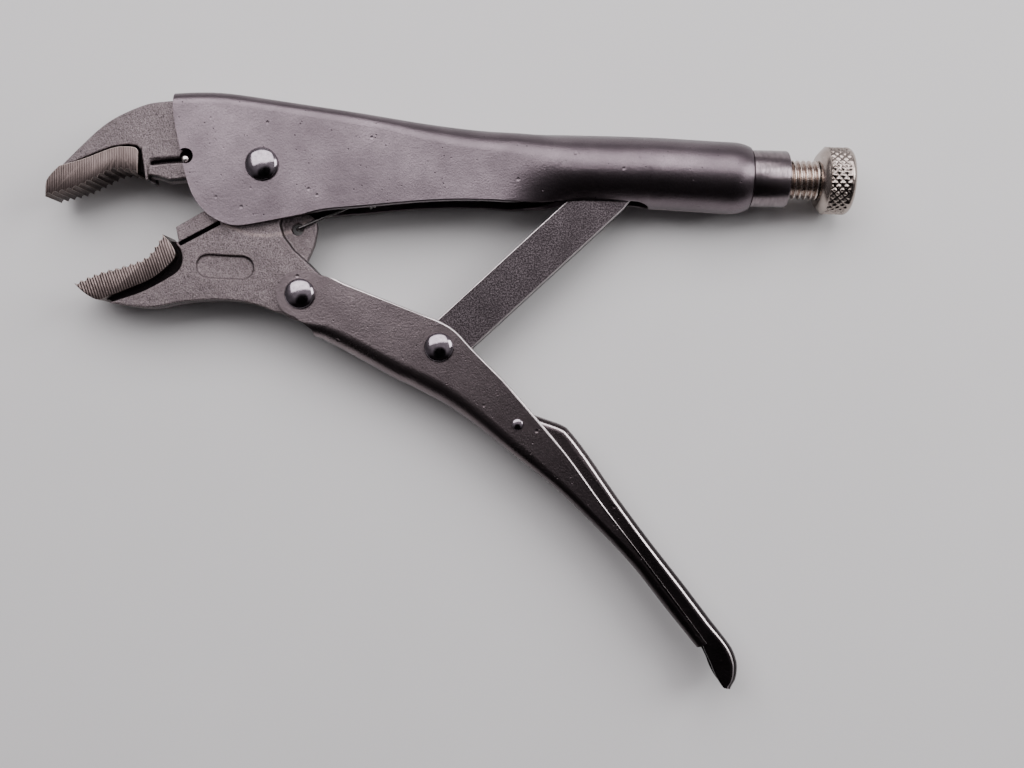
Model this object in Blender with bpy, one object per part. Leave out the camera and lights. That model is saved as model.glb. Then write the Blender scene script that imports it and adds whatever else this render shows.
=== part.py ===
"""Locking pliers with curved jaws, lying on their side with the jaws open.

Each physical piece is one object. Lengths below are in millimetres and are turned
into metres when a mesh is made. The design origin is the main rivet, +X runs along the
adjusting screw towards its knob, +Y from the lower jaw to the upper one, +Z out of the
side of the tool. At the end everything moves so that the origin is the middle of the
base of the whole tool.
"""
import math

import bpy
import bmesh
from mathutils import Matrix, Vector

MM = 0.001

# ---- sheet, widths and clearances -------------------------------------------------
CLEAR = 0.3             # gap between pieces that touch
SHEET = 2.3             # sheet steel of both handles
LEVER_SHEET = 1.8       # sheet steel of the release lever
CHANNEL_HALF = 8.0      # outer half width of both folded handles
ROOF_BEND = 4.0         # outer radius of the upper handle's front bends
JAW_HALF = CHANNEL_HALF - SHEET - CLEAR
BAND_STEP = 1.1         # how far the ground band stands out of the forged side
GROOVE_STEP = 1.0       # how deep the groove beside the band is
BLADE_ROOT_HALF = 3.8   # half thickness of the wire cutter at its root
BLADE_EDGE_HALF = 0.6   # and at its edge
TAB_HALF = 1.5          # half thickness of the spring tab
LINK_HALF = 4.6         # half thickness of the toggle link

# ---- the four pivots of the linkage -----------------------------------------------
MAIN_PIVOT = (0.0, 0.0)
JAW_PIVOT = (12.5, -38.7)
TOGGLE_PIVOT = (54.8, -53.65)
NOSE = (111.3, 1.15)
LEVER_PIVOT = (79.1, -76.2)

# ---- rivets and pins: shank radius, head radius, head height ------------------------
MAIN_RIVET = (3.3, 5.0, 1.9)
JAW_RIVET = (3.0, 4.6, 1.8)
TOGGLE_RIVET = (2.9, 4.45, 1.8)
LEVER_PIN = (1.2, 1.7, 0.7)
STOP_PIN_RADIUS = 1.1
STOP_PIN_PLACE = (-23.7, 1.3)
NOTCH_RADIUS = 2.4

# ---- barrel, bush, screw and knob ---------------------------------------------------
AXIS_Y = NOSE[1]
BARREL_RADIUS = 10.9
BARREL_START = 92.0
BARREL_END = 148.0
TAPER = 5.0             # length of the chamfer round the barrel's rear end
BARREL_LIP = 0.9        # wall left at the end of that chamfer
SLOT_HALF = LINK_HALF + 0.8
SLOT_END = 112.6        # where the slot's round end starts
SEAM_HALF = 0.25        # half of the gap left where the rolled sheet meets
COLLAR_RADIUS = 8.7
COLLAR_LENGTH = 11.4
BUSH_SPIGOT = 22.0      # length of the bush inside the barrel
SCREW_RADIUS = 6.0
SCREW_PITCH = 1.75
THREAD_DEPTH = 1.0
SCREW_SHOW = 9.3        # thread in view between bush and knob
NOSE_ROOM = 1.6         # between the corners of the link's nose and the barrel's bore
NOSE_RADIUS = math.sqrt((BARREL_RADIUS - SHEET - NOSE_ROOM) ** 2 - LINK_HALF ** 2)
NOSE_GAP = 3.5          # room between link nose and screw for the opened loop
KNOB_RADIUS = 10.3
KNOB_LENGTH = 10.1
KNOB_ROUND = 2.6

# ---- link, lever and spring ---------------------------------------------------------
LINK_WIDTH_HALF = 6.75
LINK_END_RADIUS = 7.2
LEVER_ROOM = 0.2        # between the lever's edge and the bends of the lower handle
BOSS_RADIUS = 11.0
BOSS_ROOM = 1.0
LUG_RADIUS = 8.0
EAR_RADIUS = 7.1
SPRING_RADIUS = 2.4
WIRE_RADIUS = 0.5
SPRING_TURNS = 14
SPRING_HOLE = (10.0, -18.6)
SPRING_HOLE_RADIUS = 1.7
ANCHOR_PLACE = (57.0, 3.0)
ANCHOR_HALF = 1.0       # half thickness of the anchor plate

ROUND = 24              # sides of a turned piece
PIN_ROUND = 12          # and of a small pin
SPRING_STEPS = 8        # straight stretches in one turn of the spring

# ---- materials: colour, roughness, metallic -----------------------------------------
SATIN_STEEL = ((0.30, 0.27, 0.29, 1.0), 0.38, 1.0)
DARK_STEEL = ((0.12, 0.11, 0.12, 1.0), 0.35, 1.0)
FORGED_STEEL = ((0.24, 0.22, 0.23, 1.0), 0.55, 1.0)
DARK_CHROME = ((0.10, 0.09, 0.10, 1.0), 0.10, 1.0)
NICKEL = ((0.62, 0.58, 0.54, 1.0), 0.25, 1.0)
SPRING_STEEL = ((0.35, 0.34, 0.33, 1.0), 0.30, 1.0)


# ---- outlines -------------------------------------------------------------------------
def arc(centre, radius, start, end, steps):
    """Points round a circle from one angle to another, in degrees."""
    points = []
    for i in range(steps + 1):
        angle = math.radians(start + (end - start) * i / steps)
        points.append((centre[0] + radius * math.cos(angle), centre[1] + radius * math.sin(angle)))
    return points


def smooth(points, steps):
    """A Catmull-Rom curve through the points, with so many steps between two of them."""
    pts = [Vector(p) for p in points]
    pts = [pts[0] * 2 - pts[1]] + pts + [pts[-1] * 2 - pts[-2]]
    out = []
    for i in range(1, len(pts) - 2):
        a, b, c, d = pts[i - 1:i + 3]
        for k in range(steps):
            t = k / steps
            out.append(0.5 * (2 * b + (c - a) * t + (2 * a - 5 * b + 4 * c - d) * t * t
                              + (3 * b - a - 3 * c + d) * t ** 3))
    out.append(pts[-2])
    return [tuple(p) for p in out]


def at(curve, x):
    """Height of a curve, given as points in order of x, at one x."""
    for (x0, y0), (x1, y1) in zip(curve, curve[1:]):
        if x <= x1:
            return y0 + (y1 - y0) * (x - x0) / (x1 - x0)
    return curve[-1][1]


def ease(x, start, end):
    """0 before start, 1 after end and a smooth step between."""
    t = min(max((x - start) / (end - start), 0.0), 1.0)
    return t * t * (3 - 2 * t)


def teeth(curve, count, depth, side):
    """A saw edge of so many teeth along a curve, their tips on it."""
    pts = [Vector(p) for p in curve]
    lengths = [0.0]
    for a, b in zip(pts, pts[1:]):
        lengths.append(lengths[-1] + (b - a).length)
    out = []
    for i in range(2 * count + 1):
        goal = lengths[-1] * i / (2 * count)
        k = max(j for j in range(len(pts) - 1) if lengths[j] <= goal + 1e-9)
        along = (pts[k + 1] - pts[k]).normalized()
        point = pts[k] + along * (goal - lengths[k])
        if i % 2:
            point = point + Vector((-along.y, along.x)) * depth * side
        out.append(tuple(point))
    return out


# ---- mesh helpers -----------------------------------------------------------------------
def add_object(name, bm, finish=None):
    """One object from a bmesh that is in millimetres, its faces turned outwards."""
    bmesh.ops.recalc_face_normals(bm, faces=bm.faces)
    bmesh.ops.scale(bm, vec=(MM, MM, MM), verts=bm.verts)
    mesh = bpy.data.meshes.new(name)
    bm.to_mesh(mesh)
    bm.free()
    obj = bpy.data.objects.new(name, mesh)
    bpy.context.collection.objects.link(obj)
    if finish:
        obj.data.materials.append(make_material(name, *finish))
        mesh.shade_smooth()
        mesh.set_sharp_from_angle(angle=math.radians(35))
    else:
        obj.hide_render = True
        obj.display_type = "WIRE"
    return obj


def make_material(name, colour, roughness, metallic):
    mat = bpy.data.materials.new(name)
    mat.use_nodes = True
    shader = mat.node_tree.nodes["Principled BSDF"]
    shader.inputs["Base Color"].default_value = colour
    shader.inputs["Roughness"].default_value = roughness
    shader.inputs["Metallic"].default_value = metallic
    return mat


def rings(sections):
    """A solid skinned over closed rings of points, with a flat cap at each end."""
    bm = bmesh.new()
    rows = [[bm.verts.new(p) for p in section] for section in sections]
    count = len(rows[0])
    for a, b in zip(rows, rows[1:]):
        for i in range(count):
            j = (i + 1) % count
            bm.faces.new((a[i], a[j], b[j], b[i]))
    bm.faces.new(rows[0])
    bm.faces.new(rows[-1])
    return bm


def prism(outline, low, high):
    """A flat plate of one outline between two heights."""
    return rings([[(x, y, z) for x, y in outline] for z in (low, high)])


def plate(outline, half):
    return prism(outline, -half, half)


def wedge(roots, edges, root_half, edge_half):
    """A blade that thins from a root line to an edge line."""
    sections = []
    for root, edge in zip(roots, edges):
        sections.append([(*root, root_half), (*edge, edge_half), (*edge, -edge_half), (*root, -root_half)])
    return rings(sections)


def turned(profile, place, axis="Z", sides=ROUND):
    """A turned solid. The profile is (radius, height) from one end to the other."""
    bm = bmesh.new()
    rows = []
    for radius, height in profile:
        ring = []
        for i in range(sides):
            angle = 2 * math.pi * i / sides
            ring.append(bm.verts.new((radius * math.cos(angle), radius * math.sin(angle), height)))
        rows.append(ring)
    for a, b in zip(rows, rows[1:]):
        for i in range(sides):
            j = (i + 1) % sides
            bm.faces.new((a[i], a[j], b[j], b[i]))
    if profile[0] == profile[-1]:
        bmesh.ops.remove_doubles(bm, verts=rows[0] + rows[-1], dist=1e-6)
    else:
        bm.faces.new(rows[0])
        bm.faces.new(rows[-1])
    if axis == "X":
        bmesh.ops.rotate(bm, matrix=Matrix.Rotation(math.pi / 2, 3, "Y"), verts=bm.verts)
    bmesh.ops.translate(bm, vec=place, verts=bm.verts)
    return bm


def drill(place, radius, half=30.0):
    """A round cutter across the whole tool."""
    return add_object("cutter", turned([(radius, -half), (radius, half)], (*place, 0)))


def combine(obj, tool, operation):
    mod = obj.modifiers.new(operation.title(), "BOOLEAN")
    mod.operation = operation
    mod.solver = "EXACT"
    mod.object = tool


ROLLED = (0.0, 0.12, 0.2, 0.29, 0.38, 0.47, 0.55, 0.7, 0.85, 1.0)
FOLDED = (0.0, 0.2, 0.32, 0.44, 0.55, 0.8, 1.0)


def section(roof, edge, half, bend, sheet, fractions=FOLDED, blend=0.0, radius=10.0, slot=0.25):
    """A ring round folded sheet: a U whose web is at roof and whose legs end at edge.

    The fractions are the places along half the sheet where the ring has a point. With
    blend the U turns into a rolled tube of the given radius, open by twice slot.
    """
    roof, edge = Vector(roof), Vector(edge)
    down = (edge - roof).normalized()
    depth = (edge - roof).length
    bend = min(max(bend, sheet + 0.4), depth - 0.2)
    opening = math.pi - math.asin(slot / (radius - sheet))
    walls = []
    for inset in (0.0, sheet):
        wall = []
        for share in fractions:
            if share <= 0.2:
                flat = Vector(((half - bend) * share / 0.2, inset))
            elif share <= 0.55:
                turn = (share - 0.2) / 0.35 * math.pi / 2
                reach = bend - inset
                flat = Vector((half - bend + reach * math.sin(turn), bend - reach * math.cos(turn)))
            else:
                flat = Vector((half - inset, bend + (depth - bend) * (share - 0.55) / 0.45))
            turn = opening * share
            rolled = Vector(((radius - inset) * math.sin(turn), radius - (radius - inset) * math.cos(turn)))
            wall.append(flat.lerp(rolled, blend))
        mirrored = [Vector((-p.x, p.y)) for p in reversed(wall[1:])]
        walls.append(mirrored + wall)
    ring = walls[0] + walls[1][::-1]
    return [(*(roof + down * p.y), p.x) for p in ring]


# ---- outlines that several pieces share -----------------------------------------------
ROOF = smooth([(-30, 21.2), (-20, 21.9), (-10, 21.7), (10, 19.3), (30, 16.9), (50, 14.4), (68, 12.8),
               (84, 12.6), (BARREL_START, AXIS_Y + BARREL_RADIUS), (BARREL_END, AXIS_Y + BARREL_RADIUS)], 4)
LOWER_RIM = [(-30, -22.0), (-4, -22.0), (15, -14.2), (30, -12.0), (50, -9.8), (70, -8.3),
             (BARREL_START, -8.6), (BARREL_END, -8.6)]
CHEEK_FRONT = smooth([(-27.6, 23.0), (-27.0, 13.9), (-24.9, 4.4), (-23.4, -2.3), (-20.8, -9.6),
                      (-16.9, -14.6), (-12.2, -17.5), (-7.1, -18.6), (0.0, -17.4), (10.0, -15.2),
                      (20.0, at(LOWER_RIM, 20.0))], 3)
HANDLE_RIM = smooth([(1.0, -23.0), (22.0, -33.4), (29.7, -36.6), (48.2, -43.4), (54.5, -45.6),
                     (59.6, -48.5), (65.0, -54.0), (74.5, -63.0), (84.9, -74.2), (95.3, -86.2),
                     (105.7, -99.9), (118.0, -115.3), (128.5, -128.5), (138.0, -140.7)], 2)
HANDLE_WEB = smooth([(-6.0, -47.5), (14.5, -50.8), (22.5, -53.8), (40.4, -63.0), (45.0, -65.0),
                     (50.0, -67.4), (57.5, -71.2), (66.5, -77.0), (78.0, -85.6), (90.2, -94.6),
                     (101.7, -104.8), (114.9, -118.0), (125.4, -130.7), (135.2, -142.2)], 2)
LEVER_ROOF = smooth([(65.0, -62.6), (72.5, -66.9), (79.5, -71.5), (86.5, -74.6), (94.3, -76.9),
                     (100.8, -84.9), (110.5, -98.1), (120.7, -111.1), (131.3, -123.9), (139.6, -134.3)], 2)
LEVER_TAIL = [((143.2, -138.6), (136.0, -139.8)), ((146.3, -142.6), (138.0, -144.0)),
              ((147.9, -146.4), (139.7, -147.2)), ((148.2, -149.4), (140.9, -149.9)),
              ((147.7, -152.4), (142.4, -152.6)), ((146.2, -155.0), (143.8, -154.5))]


# ---- upper side: handle, fixed jaw, bush -------------------------------------------------
def make_upper_handle():
    """Folded channel whose rear is rolled into a barrel round the screw."""
    stops = [-30, -20, -10, 0, 10, 20, 30, 38, 46, 54, 60, 66, 72, 78, 84, BARREL_START, 104, 132]
    stops += [SLOT_END + SLOT_HALF * share for share in (0.0, 0.35, 0.65, 0.85, 0.96, 1.0)]
    stops += [BARREL_END - TAPER, BARREL_END - TAPER / 2, BARREL_END]
    sections = []
    for x in sorted(s for s in set(stops) if s <= BARREL_END):
        roll = ease(x, 56, BARREL_START)
        half = CHANNEL_HALF + (BARREL_RADIUS - CHANNEL_HALF) * ease(x, 34, BARREL_START)
        bend = ROOF_BEND + 3.0 * ease(x, 20, 70)
        past = min(max((x - SLOT_END) / SLOT_HALF, 0.0), 1.0)
        slot = max(SLOT_HALF * math.sqrt(1 - past * past), SEAM_HALF)
        taper = max(x - (BARREL_END - TAPER), 0.0) / TAPER
        drop = (SHEET - BARREL_LIP) * taper ** 2
        roof = (x, at(ROOF, x) - drop)
        sections.append(section(roof, (x, at(LOWER_RIM, x)), half, bend, SHEET - drop,
                                ROLLED, roll, BARREL_RADIUS - drop, slot))
    handle = add_object("upper_handle", rings(sections), SATIN_STEEL)
    keep = CHEEK_FRONT + [(20.0, -16.0), (170.0, -16.0), (170.0, 30.0), (-27.6, 30.0)]
    combine(handle, add_object("cutter", plate(keep, 20.0)), "INTERSECT")
    notch = (STOP_PIN_PLACE[0] + 0.5, STOP_PIN_PLACE[1] + 0.6)
    combine(handle, drill(notch, NOTCH_RADIUS), "DIFFERENCE")
    combine(handle, drill(MAIN_PIVOT, MAIN_RIVET[0] + CLEAR), "DIFFERENCE")
    return handle


def make_fixed_jaw():
    """Forged upper jaw: a tang held in the channel, a ground toothed band, a cutter blade."""
    tang_top = [(x, at(ROOF, x) - ROOF_BEND) for x in (-26.5, -20, -14, -9)]
    back = smooth([(-61.9, -2.1), (-56.6, 3.5), (-50.0, 10.0), (-44.3, 14.0), (-36.0, 17.7), (-29.0, 18.6)], 4)
    boss_side = arc(MAIN_PIVOT, BOSS_RADIUS + BOSS_ROOM, 100, 168, 8)
    body = back + tang_top + [(-6.0, 15.0)] + boss_side
    body += [(-16.0, -2.0), (-22.8, -4.6), (-23.4, 2.2), (-34.8, 1.3), (-34.8, -5.2), (-36.4, -5.3)]
    body += [(-36.9, 3.0), (-38.4, 5.0), (-41.7, 5.3), (-46.0, 4.6), (-50.0, 3.0), (-54.6, 1.0), (-59.0, -1.2)]
    tooth_curve = smooth([(-37.9, -3.9), (-42.0, -2.9), (-46.0, -3.3), (-51.0, -6.0), (-57.0, -9.0),
                          (-65.6, -11.4)], 5)
    tip = smooth([(-65.6, -11.4), (-65.5, -7.0), (-64.2, -4.6), (-61.7, -1.9)], 3)
    rim = smooth([(-61.7, -1.9), (-54.6, 0.3), (-46.0, 3.8), (-41.7, 4.45), (-38.9, 4.2), (-37.9, 3.1)], 3)
    band = teeth(tooth_curve, 14, 0.9, -1) + tip[1:] + rim[1:]
    floor = [(-60.2, -0.8), (-54.0, 2.0), (-46.0, 6.0), (-36.0, 6.0), (-36.2, -4.2), (-39.0, -2.2),
             (-46.0, -1.0), (-56.0, -4.0)]
    jaw = add_object("fixed_jaw", plate(body, JAW_HALF), FORGED_STEEL)
    band_half = JAW_HALF + BAND_STEP
    combine(jaw, add_object("band", plate(band, band_half)), "UNION")
    combine(jaw, add_object("groove_floor", plate(floor, JAW_HALF - GROOVE_STEP)), "UNION")
    roots = [(-35.4, 2.2), (-32.0, 2.6), (-28.0, 2.9), (-22.2, 3.3)]
    edges = [(-35.4, -3.9), (-32.4, -4.5), (-29.2, -5.5), (-22.2, -4.7)]
    blade = wedge(roots, edges, BLADE_ROOT_HALF, BLADE_EDGE_HALF)
    combine(jaw, add_object("blade", blade), "UNION")
    ridge = [(x, at(ROOF, x) - SHEET - CLEAR) for x in (-26.5, -20, -14, -9)] + [(-9.0, 14.0), (-26.5, 12.0)]
    combine(jaw, add_object("ridge", plate(ridge, CHANNEL_HALF - ROOF_BEND)), "UNION")
    combine(jaw, drill(STOP_PIN_PLACE, STOP_PIN_RADIUS + CLEAR), "DIFFERENCE")
    return jaw


def make_thread_bush():
    """Steel bush pressed into the barrel; its collar shows behind it."""
    bore = SCREW_RADIUS + CLEAR
    spigot = BARREL_RADIUS - SHEET - CLEAR
    start = BARREL_END - BUSH_SPIGOT
    shoulder = BARREL_END + CLEAR
    end = shoulder + COLLAR_LENGTH
    profile = [(bore, start), (spigot, start), (spigot, shoulder), (COLLAR_RADIUS, shoulder),
               (COLLAR_RADIUS, end - 0.7), (COLLAR_RADIUS - 0.7, end), (bore, end), (bore, start)]
    return add_object("thread_bush", turned(profile, (0, AXIS_Y, 0), "X"), DARK_STEEL)


# ---- lower side: movable jaw, handle, lever ------------------------------------------------
def make_movable_jaw():
    """Forged lower jaw: boss in the upper channel, lug for the lower handle, spring tab."""
    boss = arc(MAIN_PIVOT, BOSS_RADIUS, 205, -48, 24)
    lug = arc(JAW_PIVOT, LUG_RADIUS, 48, -130, 16)
    under = smooth([(-46.2, -42.9), (-34.0, -44.0), (-24.0, -42.0), (-12.0, -41.0), (-3.0, -41.8),
                    (4.5, -44.2)], 4)[::-1]
    step = smooth([(-44.2, -42.2), (-36.0, -39.2), (-27.9, -34.6), (-24.6, -31.6), (-24.2, -27.5),
                   (-26.2, -24.0)], 3)
    body = boss + [(5.2, -17.5), (6.4, -21.2), (9.6, -25.3), (13.6, -28.6)] + lug + under
    body += step[1:] + [(-24.4, -23.6), (-13.6, -17.5), (-14.4, -12.4), (-12.8, -9.4)]
    tooth_curve = smooth([(-30.0, -21.7), (-31.8, -25.0), (-35.0, -28.9), (-41.9, -31.7),
                          (-49.0, -33.9), (-56.3, -37.3)], 5)
    band = teeth(tooth_curve, 14, 0.8, 1)
    band += smooth([(-56.3, -37.3), (-52.6, -40.4), (-48.8, -42.1), (-45.6, -40.9), (-38.5, -37.9),
                    (-32.3, -34.9), (-27.2, -30.4), (-25.8, -27.6), (-27.4, -24.3), (-30.0, -21.7)], 3)[1:-1]
    floor = [(-47.5, -41.8), (-44.5, -38.5), (-34.0, -33.5), (-29.0, -27.5), (-29.0, -23.4),
             (-25.8, -23.6), (-21.0, -25.0), (-21.0, -33.0), (-30.0, -39.0), (-43.0, -42.6)]
    jaw = add_object("movable_jaw", plate(body, JAW_HALF), FORGED_STEEL)
    combine(jaw, add_object("band", plate(band, JAW_HALF + BAND_STEP)), "UNION")
    combine(jaw, add_object("groove_floor", plate(floor, JAW_HALF - GROOVE_STEP)), "UNION")
    roots = [(-25.0, -24.6), (-13.0, -18.6)]
    edges = [(-26.6, -18.7), (-14.0, -11.0)]
    blade = wedge(roots, edges, BLADE_ROOT_HALF, BLADE_EDGE_HALF)
    combine(jaw, add_object("blade", blade), "UNION")
    tab = [(3.0, -16.0), (8.0, -13.6), (15.2, -15.0), (16.0, -18.8), (15.2, -23.5), (13.4, -28.0),
           (9.0, -27.6), (3.0, -20.0)]
    combine(jaw, add_object("tab", plate(tab, TAB_HALF)), "UNION")
    combine(jaw, drill(SPRING_HOLE, SPRING_HOLE_RADIUS), "DIFFERENCE")
    combine(jaw, drill(MAIN_PIVOT, MAIN_RIVET[0] + CLEAR), "DIFFERENCE")
    combine(jaw, drill(JAW_PIVOT, JAW_RIVET[0] + CLEAR), "DIFFERENCE")
    return jaw


def web_bend(i):
    """Outer bend radius of the lower handle at one of its stations: it tightens to the rear."""
    count = len(HANDLE_WEB)
    return 3.2 + 2.8 * ease(i, 0, 6) - 2.9 * ease(i, count * 0.4, count * 0.75)


def make_lower_handle():
    """Folded channel with two ears that straddle the movable jaw."""
    sections = []
    for i, (rim, web) in enumerate(zip(HANDLE_RIM, HANDLE_WEB)):
        sections.append(section(web, rim, CHANNEL_HALF, web_bend(i), SHEET))
    handle = add_object("lower_handle", rings(sections), SATIN_STEEL)
    ear = arc(JAW_PIVOT, EAR_RADIUS, 72, 258, 18)
    keep = ear + [(16.2, -49.4), (17.4, -53.0), (20.0, -62.0), (100.0, -150.0), (133.2, -143.8)]
    keep += [(134.8, -142.6), (135.1, -139.6), (134.1, -135.9), (132.0, -132.8), (131.0, -110.0)]
    keep += [(70.0, -30.0), (26.0, -35.0), (20.3, -33.9)]
    combine(handle, add_object("cutter", plate(keep, 20.0)), "INTERSECT")
    combine(handle, drill(JAW_PIVOT, JAW_RIVET[0] + CLEAR), "DIFFERENCE")
    combine(handle, drill(TOGGLE_PIVOT, TOGGLE_RIVET[0] + CLEAR), "DIFFERENCE")
    combine(handle, drill(LEVER_PIVOT, LEVER_PIN[0] + CLEAR), "DIFFERENCE")
    return handle


def nearest_on(curve, point):
    """The nearest place on a curve, the direction across it, and where in the curve it is."""
    best = None
    for i in range(len(curve) - 1):
        a, b = Vector(curve[i]), Vector(curve[i + 1])
        along = b - a
        share = min(max((Vector(point) - a).dot(along) / along.length_squared, 0.0), 1.0)
        foot = a + along * share
        gap = (Vector(point) - foot).length
        if best is None or gap < best[0]:
            best = (gap, foot, Vector((-along.y, along.x)).normalized(), i + share)
    return best[1:]


def make_release_lever():
    """Narrower folded lever that nests in the rear of the lower handle."""
    half = CHANNEL_HALF - SHEET - CLEAR
    pairs = []
    for i, roof in enumerate(LEVER_ROOF):
        foot, across, station = nearest_on(HANDLE_WEB, roof)
        edge = foot + across * (web_bend(station) + LEVER_ROOM)
        if i == 0:
            edge = edge.lerp(Vector(roof), 0.45)
        pairs.append((Vector(roof), edge))
    pairs += [(Vector(roof), Vector(edge)) for roof, edge in LEVER_TAIL]
    sections = []
    for roof, edge in pairs:
        bend = min(2.6, (edge - roof).length - 0.4)
        sections.append(section(roof, edge, half, bend, LEVER_SHEET))
    lever = add_object("release_lever", rings(sections), DARK_STEEL)
    combine(lever, drill(LEVER_PIVOT, LEVER_PIN[0] + CLEAR), "DIFFERENCE")
    return lever


def make_toggle_link():
    """Forged bar from the lower handle to the screw tip."""
    span = Vector(NOSE) - Vector(TOGGLE_PIVOT)
    heading = math.degrees(math.atan2(span.y, span.x))
    outline = arc(TOGGLE_PIVOT, LINK_END_RADIUS, heading + 70, heading + 290, 14)
    along = span.normalized()
    side = Vector((-along.y, along.x))
    start, end = Vector(TOGGLE_PIVOT) + along * 8, Vector(NOSE) - along * 9
    outline += [tuple(start - side * LINK_WIDTH_HALF), tuple(end - side * LINK_WIDTH_HALF)]
    outline += arc(NOSE, NOSE_RADIUS, heading - 75, heading + 75, 12)
    outline += [tuple(end + side * LINK_WIDTH_HALF), tuple(start + side * LINK_WIDTH_HALF)]
    link = add_object("toggle_link", plate(outline, LINK_HALF), DARK_STEEL)
    combine(link, drill(TOGGLE_PIVOT, TOGGLE_RIVET[0] + CLEAR), "DIFFERENCE")
    return link


# ---- rivets, pins, screw, knob and spring ---------------------------------------------------
def make_rivet(name, place, size, sides=ROUND):
    """A rivet with a domed head on each side of a channel."""
    shank, head, height = size
    seat = CHANNEL_HALF + CLEAR
    dome = [(head * math.cos(a), seat + 0.3 + (height - 0.3) * math.sin(a))
            for a in (math.radians(d) for d in (0, 30, 58, 82))]
    upper = [(shank, seat), (head, seat)] + dome
    profile = [(r, -z) for r, z in reversed(upper)] + upper
    return add_object(name, turned(profile, (*place, 0), sides=sides), DARK_CHROME)


def make_stop_pin():
    half = JAW_HALF + BAND_STEP
    profile = [(STOP_PIN_RADIUS * 0.7, -half), (STOP_PIN_RADIUS, 0.3 - half),
               (STOP_PIN_RADIUS, half - 0.3), (STOP_PIN_RADIUS * 0.7, half)]
    return add_object("jaw_stop_pin", turned(profile, (*STOP_PIN_PLACE, 0), sides=PIN_ROUND), NICKEL)


def make_adjusting_screw():
    """Threaded rod from the link nose to the knob; the thread in reach of the bush is cut."""
    tip = NOSE[0] + NOSE_RADIUS + NOSE_GAP
    knob_face = BARREL_END + CLEAR + COLLAR_LENGTH + SCREW_SHOW
    thread_start = BARREL_END + CLEAR + COLLAR_LENGTH - SCREW_PITCH
    root = SCREW_RADIUS - THREAD_DEPTH
    profile = [(root - 1.5, tip), (SCREW_RADIUS, tip + 2.5), (SCREW_RADIUS, thread_start)]
    turns = int((knob_face - 1.2 - thread_start) / SCREW_PITCH)
    for i in range(turns):
        x = thread_start + i * SCREW_PITCH
        profile += [(root, x + 0.45 * SCREW_PITCH), (root, x + 0.6 * SCREW_PITCH),
                    (SCREW_RADIUS, x + SCREW_PITCH)]
    profile += [(root, knob_face - CLEAR)]
    return add_object("adjusting_screw", turned(profile, (0, AXIS_Y, 0), "X"), NICKEL)


def make_adjusting_knob():
    start = BARREL_END + CLEAR + COLLAR_LENGTH + SCREW_SHOW
    end = start + KNOB_LENGTH
    corner = KNOB_RADIUS - KNOB_ROUND
    rear = [(corner + KNOB_ROUND * math.cos(a), end - KNOB_ROUND + KNOB_ROUND * math.sin(a))
            for a in (math.radians(d) for d in (0, 30, 60, 90))]
    profile = [(KNOB_RADIUS - 1.6, start), (KNOB_RADIUS, start + 1.4)] + rear
    return add_object("adjusting_knob", turned(profile, (0, AXIS_Y, 0), "X"), NICKEL)


def tube(path, radius, sides):
    """A wire of round section along a path of points."""
    pts = [Vector(p) for p in path]
    sections = []
    up = Vector((0, 0, 1))
    for i, point in enumerate(pts):
        along = (pts[min(i + 1, len(pts) - 1)] - pts[max(i - 1, 0)]).normalized()
        side = along.cross(up)
        if side.length < 0.2:
            side = along.cross(Vector((1, 0, 0)))
        side.normalize()
        up = side.cross(along).normalized()
        ring = []
        for k in range(sides):
            angle = 2 * math.pi * k / sides
            ring.append(tuple(point + (side * math.cos(angle) + up * math.sin(angle)) * radius))
        sections.append(ring)
    return rings(sections)


def hook(place, along, reach):
    """A spring's end hook, which passes through a hole across the tool at one place."""
    rise = max(TAB_HALF, ANCHOR_HALF) + WIRE_RADIUS + CLEAR
    out = Vector((0, 0, 1))
    flat = [(1.8, -rise), (0.6, -rise), (0.0, 0.6 - rise), (0.0, rise - 0.6), (0.6, rise), (1.8, rise),
            (reach, rise)]
    return [place + along * a + out * b for a, b in flat]


def make_return_spring():
    """Extension spring from the jaw's tab to the anchor plate, with a hook at each end."""
    start, end = Vector((*SPRING_HOLE, 0)), Vector((*ANCHOR_PLACE, 0))
    along = (end - start).normalized()
    side = Vector((-along.y, along.x, 0))
    out = Vector((0, 0, 1))
    reach = 8.5
    first, last = start + along * reach, end - along * reach
    path = hook(start, along, reach - 1.5)
    count = SPRING_TURNS * SPRING_STEPS
    for i in range(count + 1):
        a = 2 * math.pi * i / SPRING_STEPS
        place = first.lerp(last, i / count)
        path.append(place + (out * math.cos(a) + side * math.sin(a)) * SPRING_RADIUS)
    path += hook(end, -along, reach - 1.5)[::-1]
    return add_object("return_spring", tube(path, WIRE_RADIUS, 5), SPRING_STEEL)


def make_spring_anchor():
    """Small plate under the roof that the spring hooks into."""
    x, y = ANCHOR_PLACE
    low, high = x - 4.0, x + 5.0
    top = [(high, at(ROOF, high) - SHEET - CLEAR), (low, at(ROOF, high) - SHEET - CLEAR)]
    outline = arc(ANCHOR_PLACE, 3.2, 180, 360, 8)
    outline = [(low, y)] + outline[1:-1] + [(high, y + 2.0)] + top
    anchor = add_object("spring_anchor", plate(outline, ANCHOR_HALF), DARK_STEEL)
    combine(anchor, drill(ANCHOR_PLACE, SPRING_HOLE_RADIUS), "DIFFERENCE")
    return anchor


# ---- assembly --------------------------------------------------------------------------------
def clear_scene():
    for obj in list(bpy.data.objects):
        bpy.data.objects.remove(obj, do_unlink=True)


def set_origin(obj, place):
    """Move an object's origin to a place in the tool without moving its shape."""
    shift = Vector(place) * MM
    obj.data.transform(Matrix.Translation(-shift))
    obj.location = shift


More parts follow.
